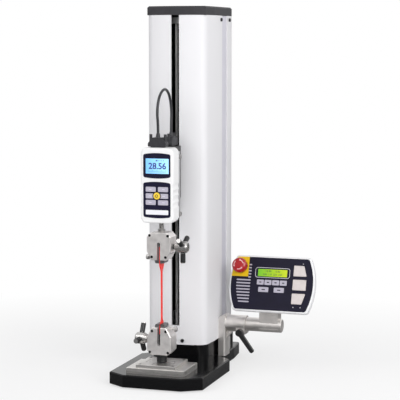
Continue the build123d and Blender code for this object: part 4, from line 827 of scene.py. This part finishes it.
def make_load_shaft_thread():
    bm = bmesh.new()
    low, high = SHAFT_THREAD
    add_thread(bm, (0.0, 0.0), low, high, SHAFT_THREAD_ROOT, SHAFT_THREAD_CREST, SHAFT_THREAD_LEAD, 1, 24)
    mesh = finish_mesh(bm, "load_shaft_thread", THREAD_SOFT)
    add_piece("load_shaft_thread", mesh, "screw_steel", "crosshead_body")


def make_knob_grips():
    bm = bmesh.new()
    low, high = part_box("mount_knobs")
    y = (low.y + high.y) / 2 / MM
    for z in (low.z / MM + KNOB_FROM_END, high.z / MM - KNOB_FROM_END):
        for side in (-1, 1):
            add_knurl(bm, (side * KNOB_KNURL_X, y, z), (side, 0, 0), KNOB_KNURL)
    mesh = finish_mesh(bm, "mount_knob_grips")
    add_piece("mount_knob_grips", mesh, "knob_steel", "crosshead_body")


def make_pin_grips():
    for name, body, outward in (("upper_stop_pin", "crosshead_body", -1), ("lower_stop_pin", "frame", 1)):
        low, high = (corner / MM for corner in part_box(name))
        head = low.x if outward < 0 else high.x
        start = (head - outward * PIN_KNURL_START, (low.y + high.y) / 2, (low.z + high.z) / 2)
        bm = bmesh.new()
        add_knurl(bm, start, (outward, 0, 0), PIN_KNURL)
        add_piece(name + "_grip", finish_mesh(bm, name + "_grip"), "knob_steel", body)


# The lead

def make_lead():
    curve = bpy.data.curves.new("lead_jacket", "CURVE")
    curve.dimensions = "3D"
    spline = curve.splines.new("NURBS")
    spline.points.add(len(LEAD_ROUTE) - 1)
    for point, (x, y, z) in zip(spline.points, LEAD_ROUTE):
        point.co = (x * MM, y * MM, z * MM, 1.0)
    spline.order_u = 3
    spline.use_endpoint_u = True
    spline.resolution_u = 10
    curve.bevel_depth = LEAD_R * MM
    curve.bevel_resolution = 5
    curve.use_fill_caps = True
    lead = place_object("lead_jacket", curve)
    curve.materials.append(MATERIALS["lead_black"])
    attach(lead, "crosshead_body")
    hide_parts("signal_lead")


# Screens and printed fields

PANEL_PLACE = Matrix.Translation((PANEL_X * MM, AXIS_Y * MM, AXIS_Z * MM))
PANEL_TURN = PANEL_PLACE @ Matrix.Rotation(-math.radians(TILT), 4, "X")
GAUGE = {"body": "crosshead_body", "slot": "label_navy", "turn": None,
         "label": GAUGE_FACE, "screen": GAUGE_SCREEN_FACE}
PANEL = {"body": "panel_body", "slot": "panel_navy", "turn": PANEL_TURN,
         "label": LABEL_FACE, "screen": PANEL_SCREEN_FACE}


def make_gauge_screen():
    glass = [rounded_outline(*GAUGE_SCREEN, GAUGE_SCREEN_ROUND)]
    add_print("gauge_screen", glass, SCREEN_SLAB, "gauge_lcd", GAUGE, face="screen")
    add_figures("gauge_figures", GAUGE_READING, GAUGE_READING_PLACE, GAUGE_FIGURES, "lcd_ink", GAUGE)
    marks = [rounded_outline(x, x + w, z, z + h, MARK_ROUND, 2) for x, z, w, h in GAUGE_SIGNS + GAUGE_SCALE]
    add_print("gauge_marks", marks, GAUGE_MARK_SLAB, "lcd_ink", GAUGE, FINE_EDGE, "screen")


def make_gauge_keys():
    keys = []
    for row, z in enumerate(GAUGE_KEY_ROWS):
        inner = GAUGE_KEY_INNER if row == 1 else 0.0
        for side, column in GAUGE_KEY_COLUMNS:
            x = column + side * inner / 2
            wide = (GAUGE_KEY_W - inner) / 2
            high = GAUGE_KEY_H / 2
            keys.append(rounded_outline(x - wide, x + wide, z - high, z + high, KEY_ROUND))
    add_print("gauge_keys", keys, GAUGE_KEY_SLAB, "field_lilac", GAUGE)
    wide, high = GAUGE_ICON_HALF
    icons = [rounded_outline(x - wide, x + wide, z - high, z + high, MARK_ROUND, 2)
             for z in GAUGE_KEY_ROWS for x in GAUGE_ICON_COLUMNS]
    add_print("gauge_key_marks", icons, GAUGE_ICON_SLAB, "print_pale", GAUGE, FINE_EDGE)
    bar = [rounded_outline(*GAUGE_BAR, GAUGE_BAR_ROUND)]
    add_print("gauge_bar", bar, GAUGE_BAR_SLAB, "print_pale", GAUGE)


def make_gauge_button():
    """The ring round the button and the sign on it, turned about the button's axis."""
    centre = (BUTTON_X, GAUGE_FACE, BUTTON_Z)
    ring = [
        (0.0, 0), (0.0, BUTTON_RING_R), (-BUTTON_RING_SHOULDER, BUTTON_RING_R),
        (-BUTTON_RING_RISE, BUTTON_RING_R - BUTTON_RING_BEVEL), (-BUTTON_RING_RISE, BUTTON_RING_BORE),
        (0.0, BUTTON_RING_BORE)]
    bm = bmesh.new()
    add_lathe(bm, ring, centre, (0, 1, 0), 40)
    mesh = finish_mesh(bm, "gauge_button_ring", TURNED_SOFT)
    add_piece("gauge_button_ring", mesh, "label_navy", "crosshead_body")
    inner, outer = BUTTON_SIGN
    shoulder = BUTTON_SIGN_RISE - BUTTON_SIGN_EDGE
    sign = [
        (-shoulder, inner), (-BUTTON_SIGN_RISE, inner + BUTTON_SIGN_EDGE),
        (-BUTTON_SIGN_RISE, outer - BUTTON_SIGN_EDGE), (-shoulder, outer), (-BUTTON_SIGN_BACK, outer),
        (-BUTTON_SIGN_BACK, inner), (-shoulder, inner)]
    bm = bmesh.new()
    add_lathe(bm, sign, centre, (0, 1, 0), 28)
    mesh = finish_mesh(bm, "gauge_button_mark", TURNED_SOFT)
    add_piece("gauge_button_mark", mesh, "print_dark", "gauge_button_body")


def make_panel_screen():
    x0, x1, z0, z1 = PANEL_SCREEN
    glass = [rounded_outline(x0, x1, PANEL_UP + z0, PANEL_UP + z1, PANEL_SCREEN_ROUND)]
    add_print("panel_screen", glass, SCREEN_SLAB, "panel_lcd", PANEL, face="screen")
    for row, text in enumerate(PANEL_READINGS):
        place = (PANEL_READING_X, PANEL_UP + PANEL_READING_Z - PANEL_READING_PITCH * row)
        add_figures("panel_figures_" + str(row), text, place, PANEL_FIGURES, "lcd_ink_green", PANEL)


def make_screen_line():
    """A pale line round the panel's screen."""
    x0, x1, z0, z1 = SCREEN_LINE
    near, far = (LABEL_FACE - depth for depth in SCREEN_LINE_DEPTHS)
    bm = bmesh.new()
    rings = []
    for inset, y in ((0.0, near), (0.0, far), (SCREEN_LINE_WIDTH, far), (SCREEN_LINE_WIDTH, near)):
        loop = rounded_outline(x0 + inset, x1 - inset, PANEL_UP + z0 + inset, PANEL_UP + z1 - inset,
                               SCREEN_LINE_ROUND - inset, 8)
        rings.append([bm.verts.new((x * MM, y * MM, z * MM)) for x, z in loop])
    for low, high in zip(rings, rings[1:] + rings[:1]):
        join_rings(bm, low, high)
    mesh = finish_mesh(bm, "panel_screen_line")
    add_piece("panel_screen_line", mesh, "print_pale", "panel_body", PANEL_TURN)


def make_panel_keys():
    places = SMALL_KEYS + MEDIUM_KEYS
    keys = [field(x, z, w / 2, h / 2, KEY_ROUND) for x, z, w, h in places]
    add_print("panel_keys", keys, PANEL_KEY_SLAB, "field_lilac", PANEL)
    signs = [field(x, z, w * KEY_SIGN_SHARE, KEY_SIGN_HALF, KEY_SIGN_ROUND, 3) for x, z, w, h in places]
    add_print("panel_key_marks", signs, KEY_SIGN_SLAB, "print_dark", PANEL, FINE_EDGE)


def make_panel_bars():
    """Bars whose left ends follow the panel's side; at the yellow plate each is only a stub at its right."""
    bars = []
    for i in range(BAR_COUNT):
        z = BAR_TOP - BAR_PITCH * i
        stub = z >= STUB_LOW
        left = STUB_LEFT if stub else BAR_LEFT + BAR_BULGE * (z / BAR_BULGE_HEIGHT) ** 2
        half = (BAR_RIGHT - left) / 2
        bars.append(field(left + half, z, half, BAR_HALF, STUB_ROUND if stub else BAR_ROUND))
    add_print("panel_bars", bars, PANEL_BAR_SLAB, "field_lilac", PANEL)
    spots = [field(x, z, SPOT_HALF, SPOT_HALF, SPOT_ROUND, 4) for x, z in SPOTS]
    add_print("panel_lamps", spots, SPOT_SLAB, "print_pale", PANEL)


def make_stop_arrows():
    """Three turning arrows on the red head, the usual sign for a twist release."""
    bm = bmesh.new()
    inner, outer = ARROW_RADII
    low, high = ARROW_LIFTS

    def point(radius, turn, lift):
        drop = max(0.0, radius - STOP_FLAT_R) * STOP_FALL
        x = STOP_X + radius * math.cos(math.radians(turn))
        z = PANEL_UP + STOP_Z + radius * math.sin(math.radians(turn))
        return bm.verts.new((x * MM, (STOP_CROWN + drop - lift) * MM, z * MM))

    def row(inside, outside, turn):
        return [point(inside, turn, low), point(inside, turn, high),
                point(outside, turn, high), point(outside, turn, low)]

    for k in range(ARROW_COUNT):
        start = 360 / ARROW_COUNT * k + ARROW_START
        rows = [row(inner, outer, start + ARROW_STEP * i) for i in range(ARROW_STEPS + 1)]
        for one, two in zip(rows, rows[1:]):
            join_rings(bm, one, two)
        close_ends(bm, rows)
        tip_turn = start + ARROW_STEP * ARROW_STEPS
        base = row(inner - ARROW_WIDER, outer + ARROW_WIDER, tip_turn)
        tip = [point((inner + outer) / 2, tip_turn + ARROW_TIP, lift) for lift in ARROW_LIFTS]
        bm.faces.new(base)
        bm.faces.new((base[0], base[1], tip[1], tip[0]))
        bm.faces.new((base[2], base[3], tip[0], tip[1]))
        bm.faces.new((base[1], base[2], tip[1]))
        bm.faces.new((base[0], tip[0], base[3]))
    mesh = finish_mesh(bm, "stop_arrows")
    add_piece("stop_arrows", mesh, "arrow_pale", "stop_button_body", PANEL_TURN)


dress_nodes()
make_lead()
make_skin()
make_painted_shade_sheet()
make_strips()
make_pedestal()
make_lead_screw()
make_limit_rods()
make_gauge_screen()
make_gauge_keys()
make_gauge_button()
make_panel_screen()
make_screen_line()
make_panel_keys()
make_panel_bars()
make_stop_arrows()
make_load_shaft_thread()
make_knob_grips()
make_pin_grips()


# Floor, lights and camera

def background(nodes, color):
    node = nodes.new("ShaderNodeBackground")
    node.inputs["Color"].default_value = color
    return node


def blend(nodes, links, factor, low, high):
    """Mix two shaders by a factor."""
    mix = nodes.new("ShaderNodeMixShader")
    links.new(factor, mix.inputs[0])
    links.new(low.outputs[0], mix.inputs[1])
    links.new(high.outputs[0], mix.inputs[2])
    return mix


def make_floor_material():
    """White far away; near the object less glow, so that its shadow shows; dark in reflections."""
    material = bpy.data.materials.new("floor")
    material.use_nodes = True
    nodes, links = material.node_tree.nodes, material.node_tree.links
    nodes.clear()
    path = nodes.new("ShaderNodeLightPath")
    tone = new_node(nodes, "ShaderNodeMix", data_type="RGBA")
    tone.inputs[MIX_LOW].default_value = FLOOR_PALE
    tone.inputs[MIX_HIGH].default_value = FLOOR_IN_SHINE
    links.new(path.outputs["Is Glossy Ray"], tone.inputs[MIX_FACTOR])
    diffuse = nodes.new("ShaderNodeBsdfDiffuse")
    links.new(tone.outputs[MIX_RESULT], diffuse.inputs["Color"])
    place = nodes.new("ShaderNodeTexCoord")
    reach = new_node(nodes, "ShaderNodeVectorMath", operation="LENGTH")
    links.new(place.outputs["Object"], reach.inputs[0])
    share = nodes.new("ShaderNodeMapRange")
    for socket, value in zip(("From Min", "From Max", "To Min", "To Max"), FLOOR_GLOW):
        share.inputs[socket].default_value = value
    links.new(reach.outputs["Value"], share.inputs["Value"])
    seen = new_node(nodes, "ShaderNodeMath", operation="MULTIPLY")
    links.new(path.outputs["Is Camera Ray"], seen.inputs[0])
    links.new(share.outputs["Result"], seen.inputs[1])
    glow = nodes.new("ShaderNodeEmission")
    glow.inputs["Strength"].default_value = 1.0
    mix = blend(nodes, links, seen.outputs[0], diffuse, glow)
    links.new(mix.outputs[0], nodes.new("ShaderNodeOutputMaterial").inputs["Surface"])
    return material


def make_floor():
    mesh = bpy.data.meshes.new("floor")
    corners = [(x * FLOOR_HALF, y * FLOOR_HALF, FLOOR_LEVEL) for x, y in ((-1, -1), (1, -1), (1, 1), (-1, 1))]
    mesh.from_pydata(corners, [], [(0, 1, 2, 3)])
    mesh.materials.append(make_floor_material())
    floor = place_object("floor", mesh)


def make_world():
    """White for camera and transmission rays, a graded studio for glossy ones, ambient for the rest."""
    world = bpy.data.worlds.new("studio")
    bpy.context.scene.world = world
    world.use_nodes = True
    nodes, links = world.node_tree.nodes, world.node_tree.links
    nodes.clear()
    place = nodes.new("ShaderNodeTexCoord")
    lean = new_node(nodes, "ShaderNodeVectorMath", operation="DOT_PRODUCT")
    lean.inputs[1].default_value = STUDIO_LEAN
    links.new(place.outputs["Generated"], lean.inputs[0])
    level = new_node(nodes, "ShaderNodeMath", operation="ADD")
    level.inputs[1].default_value = STUDIO_MIDDLE
    links.new(lean.outputs["Value"], level.inputs[0])
    kept = nodes.new("ShaderNodeClamp")
    kept.inputs["Min"].default_value, kept.inputs["Max"].default_value = STUDIO_LIMITS
    links.new(level.outputs[0], kept.inputs["Value"])
    studio = nodes.new("ShaderNodeBackground")
    links.new(kept.outputs["Result"], studio.inputs["Color"])
    path = nodes.new("ShaderNodeLightPath")
    ambient = background(nodes, (*AMBIENT, 1.0))
    shiny = blend(nodes, links, path.outputs["Is Glossy Ray"], ambient, studio)
    clear = new_node(nodes, "ShaderNodeMath", operation="MAXIMUM")
    links.new(path.outputs["Is Camera Ray"], clear.inputs[0])
    links.new(path.outputs["Is Transmission Ray"], clear.inputs[1])
    mix = blend(nodes, links, clear.outputs[0], shiny, background(nodes, WHITE))
    links.new(mix.outputs[0], nodes.new("ShaderNodeOutputWorld").inputs["Surface"])


def add_lamp(name, place, aim, size, watts):
    data = bpy.data.lights.new(name, "AREA")
    data.shape = "RECTANGLE"
    data.size, data.size_y = size
    data.energy = watts
    lamp = place_object(name, data)
    lamp.location = place
    lamp.rotation_euler = (Vector(aim) - Vector(place)).to_track_quat("-Z", "Y").to_euler()


def make_camera():
    data = bpy.data.cameras.new("camera")
    data.lens = CAMERA_LENS
    data.sensor_width = SENSOR_WIDTH
    data.clip_end = CAMERA_REACH
    camera = place_object("camera", data)
    camera.location = CAMERA_PLACE
    camera.rotation_euler = [math.radians(turn) for turn in CAMERA_TURN]
    bpy.context.scene.camera = camera


make_floor()
make_world()
for lamp_values in LAMPS:
    add_lamp(*lamp_values)
make_camera()

scene = bpy.context.scene
scene.view_settings.view_transform = "Standard"
